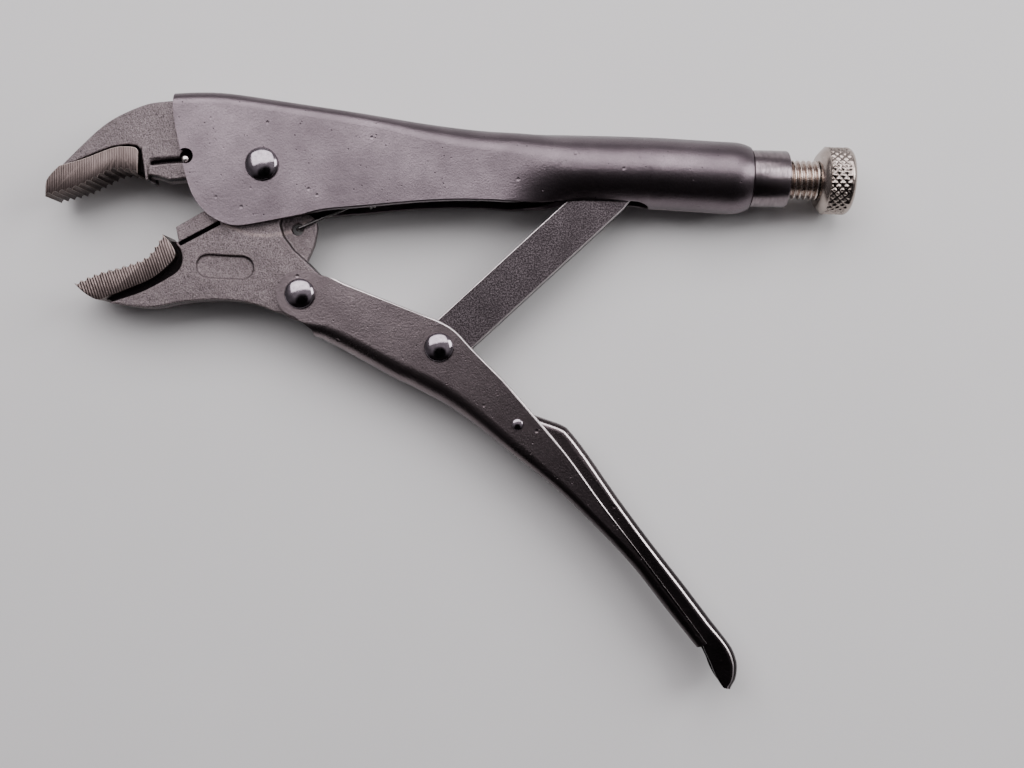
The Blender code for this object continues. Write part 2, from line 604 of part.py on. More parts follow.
def stand_on_base():
    """Shift everything so that the origin is the middle of the base of the tool."""
    bpy.context.view_layer.update()
    graph = bpy.context.evaluated_depsgraph_get()
    corners = []
    for obj in bpy.data.objects:
        if obj.type == "MESH" and not obj.hide_render:
            shape = obj.evaluated_get(graph)
            corners += [shape.matrix_world @ v.co for v in shape.data.vertices]
    low = Vector(min(c[i] for c in corners) for i in range(3))
    high = Vector(max(c[i] for c in corners) for i in range(3))
    shift = Vector(((low.x + high.x) / 2, (low.y + high.y) / 2, low.z))
    for obj in bpy.data.objects:
        obj.location -= shift


def main():
    clear_scene()
    make_upper_handle()
    make_fixed_jaw()
    make_stop_pin()
    make_thread_bush()
    set_origin(make_adjusting_screw(), (NOSE[0], AXIS_Y, 0))
    set_origin(make_adjusting_knob(), (BARREL_END, AXIS_Y, 0))
    make_movable_jaw()
    set_origin(make_lower_handle(), (*JAW_PIVOT, 0))
    set_origin(make_toggle_link(), (*TOGGLE_PIVOT, 0))
    set_origin(make_release_lever(), (*LEVER_PIVOT, 0))
    make_rivet("main_rivet", MAIN_PIVOT, MAIN_RIVET)
    make_rivet("jaw_rivet", JAW_PIVOT, JAW_RIVET)
    make_rivet("toggle_rivet", TOGGLE_PIVOT, TOGGLE_RIVET)
    make_rivet("lever_pin", LEVER_PIVOT, LEVER_PIN, PIN_ROUND)
    make_return_spring()
    make_spring_anchor()
    stand_on_base()


main()
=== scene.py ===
import math

import bmesh
import bpy
from mathutils import Matrix, Vector


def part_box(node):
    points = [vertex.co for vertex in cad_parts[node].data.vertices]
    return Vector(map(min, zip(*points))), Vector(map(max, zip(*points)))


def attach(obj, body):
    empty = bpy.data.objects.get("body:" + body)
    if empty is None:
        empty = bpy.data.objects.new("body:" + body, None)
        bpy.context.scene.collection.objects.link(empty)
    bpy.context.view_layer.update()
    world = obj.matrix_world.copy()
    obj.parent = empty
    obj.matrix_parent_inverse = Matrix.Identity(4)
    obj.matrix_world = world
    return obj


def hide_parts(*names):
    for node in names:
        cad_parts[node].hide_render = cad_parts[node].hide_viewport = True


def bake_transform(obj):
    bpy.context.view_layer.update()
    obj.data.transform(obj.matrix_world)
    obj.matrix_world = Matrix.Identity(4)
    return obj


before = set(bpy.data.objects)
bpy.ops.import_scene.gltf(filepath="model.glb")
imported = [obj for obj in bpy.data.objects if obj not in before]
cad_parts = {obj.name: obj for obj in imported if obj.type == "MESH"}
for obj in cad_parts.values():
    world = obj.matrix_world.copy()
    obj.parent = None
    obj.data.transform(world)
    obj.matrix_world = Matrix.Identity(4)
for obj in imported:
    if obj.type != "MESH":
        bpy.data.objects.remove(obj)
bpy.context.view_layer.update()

# ==== Upper handle ====
# Pressed from 2.3 mm sheet steel: a folded channel in front whose rear is rolled into a
# barrel round the screw, butted along a seam underneath. Satin black-nickel plating.
# Lengths in this file are millimetres from the main rivet, +X along the screw.
MM = 0.001
SHEET = 2.3
CHANNEL_HALF = 8.0
ROOF_BEND = 4.0
BARREL_RADIUS = 10.9
BARREL_START = 92.0
BARREL_END = 148.0
BARREL_TAPER = 6.0
BARREL_LIP = 1.0
BARREL_RISE = 0.7
SLOT_HALF = 5.0
SLOT_END = 112.6
SEAM_HALF = 0.12
CHEEK_HOLE = (-23.2, 1.9)
CHEEK_HOLE_RADIUS = 2.35
SHEET_EDGE = 0.42
WIDENS = (34, 98)
ROUNDS = (20, 75)
ROLLS = (72, 98)
ROUNDER_BEND = 3.6
LIP_CURVE = 2.2
THROUGH = 20


def middle(node):
    low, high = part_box(node)
    return (low + high) / 2


PIVOT = middle("main_rivet")


def local(node):
    """The middle of a CAD node, in millimetres from the main rivet."""
    return (middle(node) - PIVOT) / MM


def ends(node):
    """Where a CAD node starts and ends along the tool, in millimetres from the main rivet."""
    return [(corner.x - PIVOT.x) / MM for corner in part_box(node)]


def half_sizes(node):
    return [(b - a) / 2 / MM for a, b in zip(*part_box(node))]


AXIS_Y = local("adjusting_knob").y


def spline(points, steps):
    """A smooth curve through the points, with so many steps between two of them."""
    pts = [Vector(p) for p in points]
    pts = [pts[0] * 2 - pts[1]] + pts + [pts[-1] * 2 - pts[-2]]
    out = []
    for i in range(1, len(pts) - 2):
        a, b, c, d = pts[i - 1:i + 3]
        for k in range(steps):
            t = k / steps
            out.append(0.5 * (2 * b + (c - a) * t + (2 * a - 5 * b + 4 * c - d) * t * t
                              + (3 * b - a - 3 * c + d) * t ** 3))
    out.append(pts[-2])
    return [tuple(p) for p in out]


def height_at(curve, x):
    """Height at x of a curve whose points are in order of x."""
    for (x0, y0), (x1, y1) in zip(curve, curve[1:]):
        if x <= x1:
            return y0 + (y1 - y0) * (x - x0) / (x1 - x0)
    return curve[-1][1]


def ease(x, start, end):
    """0 before start, 1 after end and a smooth step between."""
    t = min(max((x - start) / (end - start), 0.0), 1.0)
    return t * t * (3 - 2 * t)


def spread(start, end, count):
    return [start + (end - start) * i / count for i in range(count + 1)]


def loft(rings, closed=False, rubbed_and_highlit=()):
    """A solid skinned over rings of points, capped unless closed, with the faces of its rubbed edges and
    painted highlights marked.
    """
    bm = bmesh.new()
    rows = [[bm.verts.new(p) for p in ring] for ring in rings]
    count = len(rows[0])
    pairs = list(zip(rows, rows[1:]))
    if closed:
        pairs.append((rows[-1], rows[0]))
    for a, b in pairs:
        for i in range(count):
            j = (i + 1) % count
            face = bm.faces.new((a[i], a[j], b[j], b[i]))
            face.material_index = int(i in rubbed_and_highlit)
    if not closed:
        bm.faces.new(rows[0])
        bm.faces.new(rows[-1])
    return bm


def slab(outline, low, high):
    """A flat plate of one outline between two heights."""
    return loft([[(x, y, z) for x, y in outline] for z in (low, high)])


def circle(centre, radius, start=0.0, end=360.0, steps=48):
    """Points round a circle from one angle to another, in degrees."""
    points = []
    for angle in spread(math.radians(start), math.radians(end), steps):
        points.append((centre[0] + radius * math.cos(angle), centre[1] + radius * math.sin(angle)))
    if abs(end - start) == 360:
        points.pop()
    return points


WEB_SHARES = spread(0.0, 0.2, 3)
BEND_SHARES = spread(0.2, 0.55, 9)
LEG_SHARES = spread(0.55, 1.0, 10)
FOLD_SHARES = WEB_SHARES + BEND_SHARES[1:] + LEG_SHARES[1:]
RIM_STEPS = 4
RIM_RADIUS = 0.55
# The faces round both rims: rubbed steel, which on the lower handle is also a painted highlight.
RIM_RUBBED_AND_HIGHLIT = set(range(RIM_STEPS + 1))
RIM_RUBBED_AND_HIGHLIT |= {2 * (len(FOLD_SHARES) + RIM_STEPS) - 2 - i for i in range(RIM_STEPS + 1)}
FOLD_MIDDLE = len(FOLD_SHARES) + RIM_STEPS - 1
# Painted highlight: one strip of faces in the middle of each bend, given the bright edge finish.
BEND_HIGHLIGHT = {FOLD_MIDDLE + 9, FOLD_MIDDLE - 10}


def rounded_rim(wall, other_end, radius):
    """Replace the last point of a wall by an arc that starts round the sheet's edge."""
    last = wall.pop()
    along = (last - wall[-1]).normalized()
    inward = (other_end - last).normalized()
    centre = last + (inward - along) * radius
    for turn in spread(0, math.pi / 2, RIM_STEPS):
        wall.append(centre - inward * radius * math.cos(turn) + along * radius * math.sin(turn))


def fold(roof, edge, half, bend, sheet, roll=0.0, radius=10.0, slot=0.2):
    """A ring round folded sheet: a U whose web is at roof and whose legs end at edge.

    With roll the U turns into a tube of the given radius, open by twice slot.
    """
    roof, edge = Vector(roof), Vector(edge)
    down = (edge - roof).normalized()
    depth = (edge - roof).length
    bend = min(max(bend, sheet + 0.3), depth - RIM_RADIUS - 0.15)
    walls = []
    for inset in (0.0, sheet):
        opening = math.pi - math.asin(slot / (radius - inset))
        wall = []
        for share in FOLD_SHARES:
            if share <= WEB_SHARES[-1]:
                flat = Vector(((half - bend) * share / WEB_SHARES[-1], inset))
            elif share <= BEND_SHARES[-1]:
                turn = (share - BEND_SHARES[0]) / (BEND_SHARES[-1] - BEND_SHARES[0]) * math.pi / 2
                reach = bend - inset
                flat = Vector((half - bend + reach * math.sin(turn), bend - reach * math.cos(turn)))
            else:
                part = (share - LEG_SHARES[0]) / (1.0 - LEG_SHARES[0])
                flat = Vector((half - inset, bend + (depth - bend) * part))
            turn = opening * share
            rolled = Vector(((radius - inset) * math.sin(turn), radius - (radius - inset) * math.cos(turn)))
            wall.append(flat.lerp(rolled, roll))
        walls.append(wall)
    ends = [wall[-1] for wall in walls]
    rounded_rim(walls[0], ends[1], RIM_RADIUS)
    rounded_rim(walls[1], ends[0], RIM_RADIUS * 0.5)
    walls = [[Vector((-p.x, p.y)) for p in reversed(wall[1:])] + wall for wall in walls]
    return [(*(roof + down * p.y), p.x) for p in walls[0] + walls[1][::-1]]


def add_piece(name, bm, *finishes):
    """One smooth-shaded piece from a solid in millimetres, placed from the main rivet."""
    bmesh.ops.recalc_face_normals(bm, faces=bm.faces)
    bm.transform(Matrix.Translation(PIVOT) @ Matrix.Scale(MM, 4))
    mesh = bpy.data.meshes.new(name)
    bm.to_mesh(mesh)
    bm.free()
    mesh.shade_smooth()
    for finish in finishes:
        mesh.materials.append(finish)
    obj = bpy.data.objects.new(name, mesh)
    bpy.context.scene.collection.objects.link(obj)
    return obj


def settle(obj):
    """Make an object's modifiers part of its mesh."""
    graph = bpy.context.evaluated_depsgraph_get()
    mesh = bpy.data.meshes.new_from_object(obj.evaluated_get(graph), depsgraph=graph)
    obj.modifiers.clear()
    obj.data = mesh


def combine(obj, tool, operation):
    """Use up one object as the cutter, or the weld, of another."""
    mod = obj.modifiers.new("carve", "BOOLEAN")
    mod.operation = operation
    mod.solver = "EXACT"
    mod.object = tool
    settle(obj)
    bpy.data.objects.remove(tool)


def carve(obj, bm, operation="DIFFERENCE"):
    """Cut a solid out of a piece, weld it on, or keep only what the two share."""
    combine(obj, add_piece("tool", bm), operation)


EDGE_STEPS = 3
EDGE_ANGLE = 48.0
FLAT_ANGLE = 0.4


def round_edges(obj, width, finish=-1):
    """Round the sharp edges of sheared or sawn steel and give them their own finish."""
    thin = obj.modifiers.new("merge flats", "DECIMATE")
    thin.decimate_type = "DISSOLVE"
    thin.angle_limit = math.radians(FLAT_ANGLE)
    bevel = obj.modifiers.new("rounded edge", "BEVEL")
    bevel.width = width * MM
    bevel.segments = EDGE_STEPS
    bevel.limit_method = "ANGLE"
    bevel.angle_limit = math.radians(EDGE_ANGLE)
    bevel.material = finish
    bevel.miter_outer = "MITER_ARC"
    settle(obj)
    obj.data.shade_smooth()
    normals = obj.modifiers.new("flat faces", "WEIGHTED_NORMAL")
    normals.keep_sharp = True
    normals.weight = 80


class Finish:
    """A node material whose pieces are noise, stripes and masks in millimetres."""

    def __init__(self, name):
        self.material = bpy.data.materials.new(name)
        self.material.use_nodes = True
        self.nodes = self.material.node_tree.nodes
        self.links = self.material.node_tree.links
        self.shader = self.nodes["Principled BSDF"]
        self.shader.inputs["Metallic"].default_value = 1.0
        self.place = self.nodes.new("ShaderNodeTexCoord").outputs["Object"]
        self.height = None

    def noise(self, size, detail=3.0, stretch=None, turn=0.0, roughness=0.55):
        """Noise with spots of one size, drawn out along a direction if stretch is given."""
        node = self.nodes.new("ShaderNodeTexNoise")
        node.inputs["Scale"].default_value = 1.0 / (size * MM)
        node.inputs["Detail"].default_value = detail
        node.inputs["Roughness"].default_value = roughness
        self.links.new(self.turned(stretch or (1, 1, 1), turn), node.inputs["Vector"])
        return node.outputs["Fac"]

    def turned(self, scale, turn):
        node = self.nodes.new("ShaderNodeMapping")
        node.inputs["Rotation"].default_value = (0, 0, math.radians(-turn))
        node.inputs["Scale"].default_value = scale
        self.links.new(self.place, node.inputs["Vector"])
        return node.outputs["Vector"]

    def stripes(self, pitch, turn, wobble):
        """Ground lines of one pitch that run across a direction."""
        node = self.nodes.new("ShaderNodeTexWave")
        node.bands_direction = "X"
        node.inputs["Scale"].default_value = math.pi / 10.0 / (pitch * MM)
        node.inputs["Distortion"].default_value = wobble
        node.inputs["Detail"].default_value = 2.0
        node.inputs["Detail Scale"].default_value = 1.5
        self.links.new(self.turned((1, 1, 1), turn), node.inputs["Vector"])
        return node.outputs["Fac"]

    def cells(self, size):
        node = self.nodes.new("ShaderNodeTexVoronoi")
        node.inputs["Scale"].default_value = 1.0 / (size * MM)
        self.links.new(self.place, node.inputs["Vector"])
        return node.outputs["Distance"]

    def ramp(self, value, low, high, start=0.0, end=1.0):
        node = self.nodes.new("ShaderNodeMapRange")
        node.inputs["From Min"].default_value = low
        node.inputs["From Max"].default_value = high
        node.inputs["To Min"].default_value = start
        node.inputs["To Max"].default_value = end
        self.links.new(value, node.inputs["Value"])
        return node.outputs["Result"]

    def math(self, operation, a, b):
        node = self.nodes.new("ShaderNodeMath")
        node.operation = operation
        for socket, value in zip(node.inputs, (a, b)):
            if isinstance(value, (int, float)):
                socket.default_value = value
            else:
                self.links.new(value, socket)
        return node.outputs["Value"]

    def worn(self, low, high):
        """1 on sharp outer edges of a dense mesh, 0 elsewhere."""
        return self.ramp(self.nodes.new("ShaderNodeNewGeometry").outputs["Pointiness"], low, high)

    def coordinate(self, axis):
        split = self.nodes.new("ShaderNodeSeparateXYZ")
        self.links.new(self.place, split.inputs["Vector"])
        return split.outputs[axis]

    def groove_shade(self):
        """1 at the depth of the grooves beside a ground band, 0 above and below; it masks painted shade."""
        depth = self.math("ABSOLUTE", self.math("SUBTRACT", self.coordinate("Z"), PIVOT.z), 0.0)
        below_top = self.ramp(depth, 4.6 * MM, 4.0 * MM)
        return self.math("MULTIPLY", below_top, self.ramp(depth, 2.0 * MM, 2.6 * MM))

    def along(self, start, end):
        """0 before one place along the tool and 1 after another."""
        return self.ramp(self.coordinate("X"), PIVOT.x + start * MM, PIVOT.x + end * MM)

    def mix(self, share, a, b):
        """Mix two colours, each a socket or three numbers."""
        node = self.nodes.new("ShaderNodeMix")
        node.data_type = "RGBA"
        self.links.new(share, node.inputs["Factor"])
        for socket, value in ((node.inputs[6], a), (node.inputs[7], b)):
            if isinstance(value, tuple):
                socket.default_value = (*value, 1.0)
            else:
                self.links.new(value, socket)
        return node.outputs[2]

    def raise_by(self, value, depth):
        """Add a relief of so many millimetres to the surface."""
        node = self.nodes.new("ShaderNodeBump")
        node.inputs["Strength"].default_value = 1.0
        node.inputs["Distance"].default_value = depth * MM
        self.links.new(value, node.inputs["Height"])
        if self.height:
            self.links.new(self.height, node.inputs["Normal"])
        self.height = node.outputs["Normal"]

    def done(self, colour, roughness):
        self.links.new(colour, self.shader.inputs["Base Color"])
        self.links.new(roughness, self.shader.inputs["Roughness"])
        if self.height:
            self.links.new(self.height, self.shader.inputs["Normal"])
        return self.material


def satin_plate(name, light, dark, rough=0.34, grain=0.06, painted_shade_span=None):
    """Satin plating over tumbled sheet: soft mottling, fine grain, dark pits, small dents.

    Given a span along the tool, the colour darkens from one end of it to the other as painted shade.
    """
    finish = Finish(name)
    cloud = finish.noise(14.0, 4.0)
    grain_noise = finish.noise(0.55, 3.0, roughness=0.7)
    pits = finish.ramp(finish.cells(2.1), 0.13, 0.05)
    pits = finish.math("MULTIPLY", pits, finish.ramp(finish.noise(5.0, 1.0), 0.42, 0.55))
    dents = finish.ramp(finish.cells(6.5), 0.10, 0.03)
    scuffs = finish.ramp(finish.noise(3.0, 4.0, (1.0, 9.0, 1.0), 12.0), 0.62, 0.72)
    colour = finish.mix(finish.ramp(cloud, 0.3, 0.7), dark, light)
    colour = finish.mix(finish.ramp(grain_noise, 0.35, 0.7, 0.0, 0.6), colour, dark)
    colour = finish.mix(finish.ramp(pits, 0.0, 1.0, 0.0, 0.75), colour, tuple(c * 0.2 for c in dark))
    # Painted shade: darker towards the end of the span.
    if painted_shade_span:
        colour = finish.mix(finish.along(*painted_shade_span), colour, tuple(c * 0.45 for c in dark))
    level = finish.ramp(cloud, 0.2, 0.8, rough + 0.05, rough - 0.05)
    level = finish.math("ADD", level, finish.ramp(scuffs, 0.0, 1.0, 0.0, 0.05))
    finish.raise_by(grain_noise, grain)
    finish.raise_by(finish.noise(7.0, 2.0), 0.07)
    finish.raise_by(finish.ramp(pits, 0.0, 1.0, 1.0, 0.0), 0.06)
    finish.raise_by(finish.ramp(dents, 0.0, 1.0, 1.0, 0.0), 0.10)
    return finish.done(colour, level)


def bare_edge(name, colour, rough=0.24):
    """The rubbed edge of plated steel, brighter than the faces beside it."""
    finish = Finish(name)
    patch = finish.noise(1.6, 3.0)
    tone = finish.mix(finish.ramp(patch, 0.3, 0.7), tuple(c * 0.72 for c in colour), colour)
    finish.raise_by(finish.noise(0.25, 2.0), 0.01)
    return finish.done(tone, finish.ramp(patch, 0.2, 0.8, rough + 0.08, rough - 0.04))


ROOF = spline([(-30, 21.2), (-20, 21.9), (-10, 21.7), (10, 19.3), (30, 16.9), (50, 14.4), (68, 12.8),
               (84, 12.6), (BARREL_START, AXIS_Y + BARREL_RADIUS + BARREL_RISE),
               (118, AXIS_Y + BARREL_RADIUS + BARREL_RISE), (140, AXIS_Y + BARREL_RADIUS),
               (BARREL_END, AXIS_Y + BARREL_RADIUS)], 8)
LOWER_RIM = spline([(-30, -22.0), (-4, -22.0), (15, -14.2), (30, -12.0), (50, -9.8), (66, -9.2),
                    (80, -9.9), (BARREL_START, -11.0), (BARREL_END, -11.0)], 6)
CHEEK_FRONT = spline([(-27.6, 23.0), (-27.0, 13.9), (-24.9, 4.4), (-23.4, -2.3), (-20.8, -9.6),
                      (-16.9, -14.6), (-12.2, -17.5), (-7.1, -18.6), (0.0, -17.4), (10.0, -15.2),
                      (20.0, height_at(LOWER_RIM, 20.0))], 5)

handle_plate = satin_plate("plated_sheet", (0.208, 0.173, 0.190), (0.118, 0.097, 0.108), 0.31)
handle_edge = bare_edge("plated_edge", (0.36, 0.31, 0.335), 0.30)
slot_ends = [SLOT_END + SLOT_HALF * share for share in spread(0.0, 1.0, 6)]
stations = spread(-30.0, 54.0, 36) + spread(55.5, BARREL_START, 30) + spread(94.0, SLOT_END, 6)
stations += slot_ends[1:]
stations += spread(122.0, BARREL_END - BARREL_TAPER, 5) + spread(BARREL_END - BARREL_TAPER, BARREL_END, 8)[1:]
rings = []
for x in stations:
    half = CHANNEL_HALF + (BARREL_RADIUS - CHANNEL_HALF) * ease(x, *WIDENS)
    bend = ROOF_BEND + ROUNDER_BEND * ease(x, *ROUNDS)
    past = min(max((x - SLOT_END) / SLOT_HALF, 0.0), 1.0)
    slot = max(SLOT_HALF * math.sqrt(1 - past * past), SEAM_HALF)
    taper = max(x - (BARREL_END - BARREL_TAPER), 0.0) / BARREL_TAPER
    drop = (SHEET - BARREL_LIP) * taper ** LIP_CURVE
    roof = (x, height_at(ROOF, x) - drop)
    rings.append(fold(roof, (x, height_at(LOWER_RIM, x)), half, bend, SHEET - drop,
                      ease(x, *ROLLS), BARREL_RADIUS - drop, slot))
upper_handle = add_piece("upper_handle_sheet", loft(rings, rubbed_and_highlit=RIM_RUBBED_AND_HIGHLIT), handle_plate, handle_edge)
keep = CHEEK_FRONT + [(20.0, -16.0), (170.0, -16.0), (170.0, 30.0), (-27.6, 30.0)]
carve(upper_handle, slab(keep, -THROUGH, THROUGH), "INTERSECT")
carve(upper_handle, slab(circle(CHEEK_HOLE, CHEEK_HOLE_RADIUS), -THROUGH, THROUGH))
round_edges(upper_handle, SHEET_EDGE, finish=1)
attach(upper_handle, "upper_side")
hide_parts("upper_handle")

# ==== Fixed jaw ====
# A drop forging of chrome-vanadium steel held in the handle's nose, with sand-blasted
# sides. Its toothed band stands proud and is ground flat; a wire cutter lies behind it.
JAW_HALF = 5.4
BAND_HALF = 6.5
GROOVE_HALF = 3.7
LIP_HALF = 5.9
BLADE_ROOT_HALF = 5.0
BLADE_BROW_HALF = 4.7
BLADE_EDGE_HALF = 0.6
TOOTH_DEPTH = 0.9
BAND_TEETH = 14
FORGED_SKIN = 0.24
SOFTENING = 5
FACES_KEPT = 0.45
BROKEN_EDGE = 0.13
SLIT_FLOOR = 2.2
HOLE_FLOOR = 3.0
PAST_SIDE = 9.0


def forge(obj):
    """Give a piece the soft edges and fillets of a forging."""
    remesh = obj.modifiers.new("skin", "REMESH")
    remesh.mode = "VOXEL"
    remesh.voxel_size = FORGED_SKIN * MM
    soft = obj.modifiers.new("soft", "SMOOTH")
    soft.factor = 0.5
    soft.iterations = SOFTENING
    thin = obj.modifiers.new("thin", "DECIMATE")
    thin.ratio = FACES_KEPT
    settle(obj)
    obj.data.shade_smooth()


def teeth(curve, count, depth, side):
    """A saw edge of so many rounded teeth along a curve, their tips on it."""
    pts = [Vector(p) for p in curve]
    lengths = [0.0]
    for a, b in zip(pts, pts[1:]):
        lengths.append(lengths[-1] + (b - a).length)
    out = []
    for i in range(6 * count + 1):
        goal = lengths[-1] * i / (6 * count)
        k = max(j for j in range(len(pts) - 1) if lengths[j] <= goal + 1e-9)
        along = (pts[k + 1] - pts[k]).normalized()
        point = pts[k] + along * (goal - lengths[k])
        bite = depth * math.sin(math.pi * (i % 6) / 6) ** 0.8
        out.append(tuple(point + Vector((-along.y, along.x)) * bite * side))
    return out


def blade(roots, edges):
    """A cutter blade: a nearly flat side that ends in a short bevel at its edge."""
    rings = []
    for root, edge in zip(roots, edges):
        root, edge = Vector(root), Vector(edge)
        brow = root.lerp(edge, 0.9)
        side = [(*root, BLADE_ROOT_HALF), (*brow, BLADE_BROW_HALF), (*edge, BLADE_EDGE_HALF)]
        rings.append(side + [(x, y, -z) for x, y, z in reversed(side)])
    return loft(rings)


def blasted(name, light, dark, rub_and_reflection=None):
    """Sand-blasted forging: coarse sparkling grain, low swells and a scatter of dark pores."""
    finish = Finish(name)
    cloud = finish.noise(8.0, 3.0)
    grit = finish.noise(0.45, 4.0, roughness=0.8)
    pores = finish.ramp(finish.noise(0.8, 3.0), 0.40, 0.28)
    colour = finish.mix(finish.ramp(grit, 0.36, 0.64), dark, light)
    colour = finish.mix(finish.ramp(cloud, 0.35, 0.75, 0.0, 0.4), colour, dark)
    colour = finish.mix(finish.ramp(pores, 0.0, 1.0, 0.0, 0.6), colour, tuple(c * 0.5 for c in dark))
    # Painted shade: surfaces at the depth of the grooves, slits and holes are darkened nearly to black.
    colour = finish.mix(finish.groove_shade(), colour, tuple(c * 0.12 for c in dark))
    level = finish.ramp(grit, 0.3, 0.7, 0.46, 0.36)
    # A lighter arc round the pivot: wear where the cheek's edge rubs, and a painted reflection of that edge.
    if rub_and_reflection:
        shift = finish.nodes.new("ShaderNodeVectorMath")
        shift.operation = "DISTANCE"
        shift.inputs[1].default_value = (PIVOT.x, PIVOT.y, PIVOT.z + JAW_HALF * MM)
        finish.links.new(finish.place, shift.inputs[0])
        offset = finish.math("SUBTRACT", shift.outputs["Value"], rub_and_reflection * MM)
        mark = finish.ramp(finish.math("ABSOLUTE", offset, 0.0), 0.9 * MM, 0.2 * MM)
        mark = finish.math("MULTIPLY", mark, finish.ramp(finish.noise(2.0), 0.35, 0.6, 0.1, 0.6))
        colour = finish.mix(mark, colour, (0.42, 0.34, 0.32))
        level = finish.math("SUBTRACT", level, finish.math("MULTIPLY", mark, 0.15))
    finish.raise_by(grit, 0.22)
    finish.raise_by(finish.noise(2.4, 3.0), 0.22)
    return finish.done(colour, level)


def ground_face(name, light, dark, pitch, turn, depth):
    """A face ground flat, with the wheel's lines across the bite."""
    finish = Finish(name)
    lines = finish.stripes(pitch, turn, 0.25)
    fine = finish.noise(0.5, 2.0, (1.0, 0.06, 1.0), turn)
    colour = finish.mix(lines, dark, light)
    colour = finish.mix(finish.ramp(fine, 0.3, 0.7, 0.0, 0.55), colour, tuple(c * 0.7 for c in dark))
    colour = finish.mix(finish.ramp(finish.noise(4.0), 0.4, 0.7, 0.0, 0.4), colour, light)
    finish.raise_by(lines, depth)
    finish.raise_by(fine, depth * 0.7)
    return finish.done(colour, finish.ramp(fine, 0.2, 0.8, 0.30, 0.44))


fixed_blast = blasted("blasted_forging", (0.33, 0.28, 0.285), (0.095, 0.079, 0.082))
fixed_ground = ground_face("ground_upper_band", (0.165, 0.132, 0.124), (0.085, 0.066, 0.061),
                           0.70, 2.0, 0.03)
band_edge = bare_edge("ground_edge", (0.42, 0.36, 0.325), 0.28)

roof_inside = [(x, height_at(ROOF, x) - SHEET - 0.3) for x in (-26.5, -20, -14, -9)]
back = spline([(-61.9, -2.1), (-56.6, 3.5), (-50.0, 10.0), (-44.3, 14.0), (-36.0, 17.7), (-29.0, 18.9)], 8)
body = back + roof_inside + [(-6.0, 15.0)] + circle((0, 0), 12.0, 100, 168, 16)
body += [(-16.0, -2.0), (-22.8, -4.6), (-23.4, 2.3), (-34.9, 1.2), (-35.2, -4.2), (-35.9, -4.4)]
body += [(-36.6, -0.5), (-37.4, 3.6), (-38.6, 5.0), (-41.7, 5.3), (-46.0, 4.6), (-50.0, 3.0), (-54.6, 1.0)]
body.append((-59.0, -1.2))
bite = spline([(-37.9, -3.9), (-42.0, -2.9), (-46.0, -3.3), (-51.0, -6.0), (-57.0, -9.0), (-65.6, -11.4)], 8)
tip = spline([(-65.6, -11.4), (-65.5, -7.0), (-64.2, -4.6), (-61.7, -1.9)], 5)
rim = spline([(-61.7, -1.9), (-54.6, 0.3), (-46.0, 3.8), (-41.7, 4.45), (-38.9, 4.2), (-37.9, 3.1)], 5)
band = teeth(bite, BAND_TEETH, TOOTH_DEPTH, -1) + tip[1:] + rim[1:]
floor_shape = [(-60.2, -0.8), (-54.0, 2.0), (-46.0, 6.0), (-36.0, 6.0), (-36.2, -4.2), (-39.0, -2.2),
               (-46.0, -1.0), (-56.0, -4.0)]
fixed_jaw = add_piece("fixed_jaw_forging", slab(body, -JAW_HALF, JAW_HALF),
                      fixed_blast, fixed_ground, band_edge)
carve(fixed_jaw, slab(floor_shape, -GROOVE_HALF, GROOVE_HALF), "UNION")
blade_roots = [(-35.4, 1.6), (-32.0, 2.0), (-28.0, 2.3), (-22.2, 2.7)]
blade_edges = [(-35.4, -3.9), (-32.4, -4.5), (-29.2, -5.5), (-22.2, -4.7)]
carve(fixed_jaw, blade(blade_roots, blade_edges), "UNION")
lip = [(-37.2, 4.3), (-36.3, 4.5), (-34.9, -5.1), (-35.7, -5.4)]
carve(fixed_jaw, slab(lip, -LIP_HALF, LIP_HALF), "UNION")
slit = spline([(-34.6, 0.5), (-30.0, 1.2), (-22.0, 2.0)], 4)
slit_lower = [(x, y - 1.3) for x, y in reversed(slit)]
for side in (-1, 1):
    carve(fixed_jaw, slab(slit + slit_lower, side * SLIT_FLOOR, side * PAST_SIDE))
forge(fixed_jaw)
for side in (-1, 1):
    carve(fixed_jaw, slab(circle(CHEEK_HOLE, CHEEK_HOLE_RADIUS + 0.1), side * HOLE_FLOOR, side * PAST_SIDE))


def add_band(jaw, outline, half, ground, edge):
    """Weld the ground band on a forged jaw, with its edges just broken."""
    plate = add_piece("band", slab(outline, -half, half), jaw.data.materials[0], ground, edge)
    for face in plate.data.polygons:
        face.material_index = 1
    bevel = plate.modifiers.new("broken edge", "BEVEL")
    bevel.width = BROKEN_EDGE * MM
    bevel.segments = 2
    bevel.limit_method = "ANGLE"
    bevel.angle_limit = math.radians(60)
    bevel.material = 2
    settle(plate)
    combine(jaw, plate, "UNION")
    jaw.data.shade_smooth()
    jaw.data.set_sharp_from_angle(angle=math.radians(38))


add_band(fixed_jaw, band, BAND_HALF, fixed_ground, band_edge)
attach(fixed_jaw, "upper_side")
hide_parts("fixed_jaw")

# ==== Stop pin ====
# A small turned pin through the fixed jaw, seen in the notch of the cheeks. It is nickel
# plated, with crowned ends.
RIVET_SIDES = 72


def turned_solid(profile, place, axis="Z", sides=RIVET_SIDES):
    """A turned solid. The profile is (radius, height) from one end to the other."""
    rings = []
    for radius, height in profile:
        ring = []
        for i in range(sides):
            angle = 2 * math.pi * i / sides
            ring.append((radius * math.cos(angle), radius * math.sin(angle), height))
        rings.append(ring)
    bm = loft(rings, closed=profile[0] == profile[-1])
    if profile[0] == profile[-1]:
        bmesh.ops.remove_doubles(bm, verts=bm.verts, dist=1e-5)
    if axis == "X":
        bmesh.ops.rotate(bm, matrix=Matrix.Rotation(math.pi / 2, 3, "Y"), verts=bm.verts)
    bmesh.ops.translate(bm, vec=place, verts=bm.verts)
    return bm


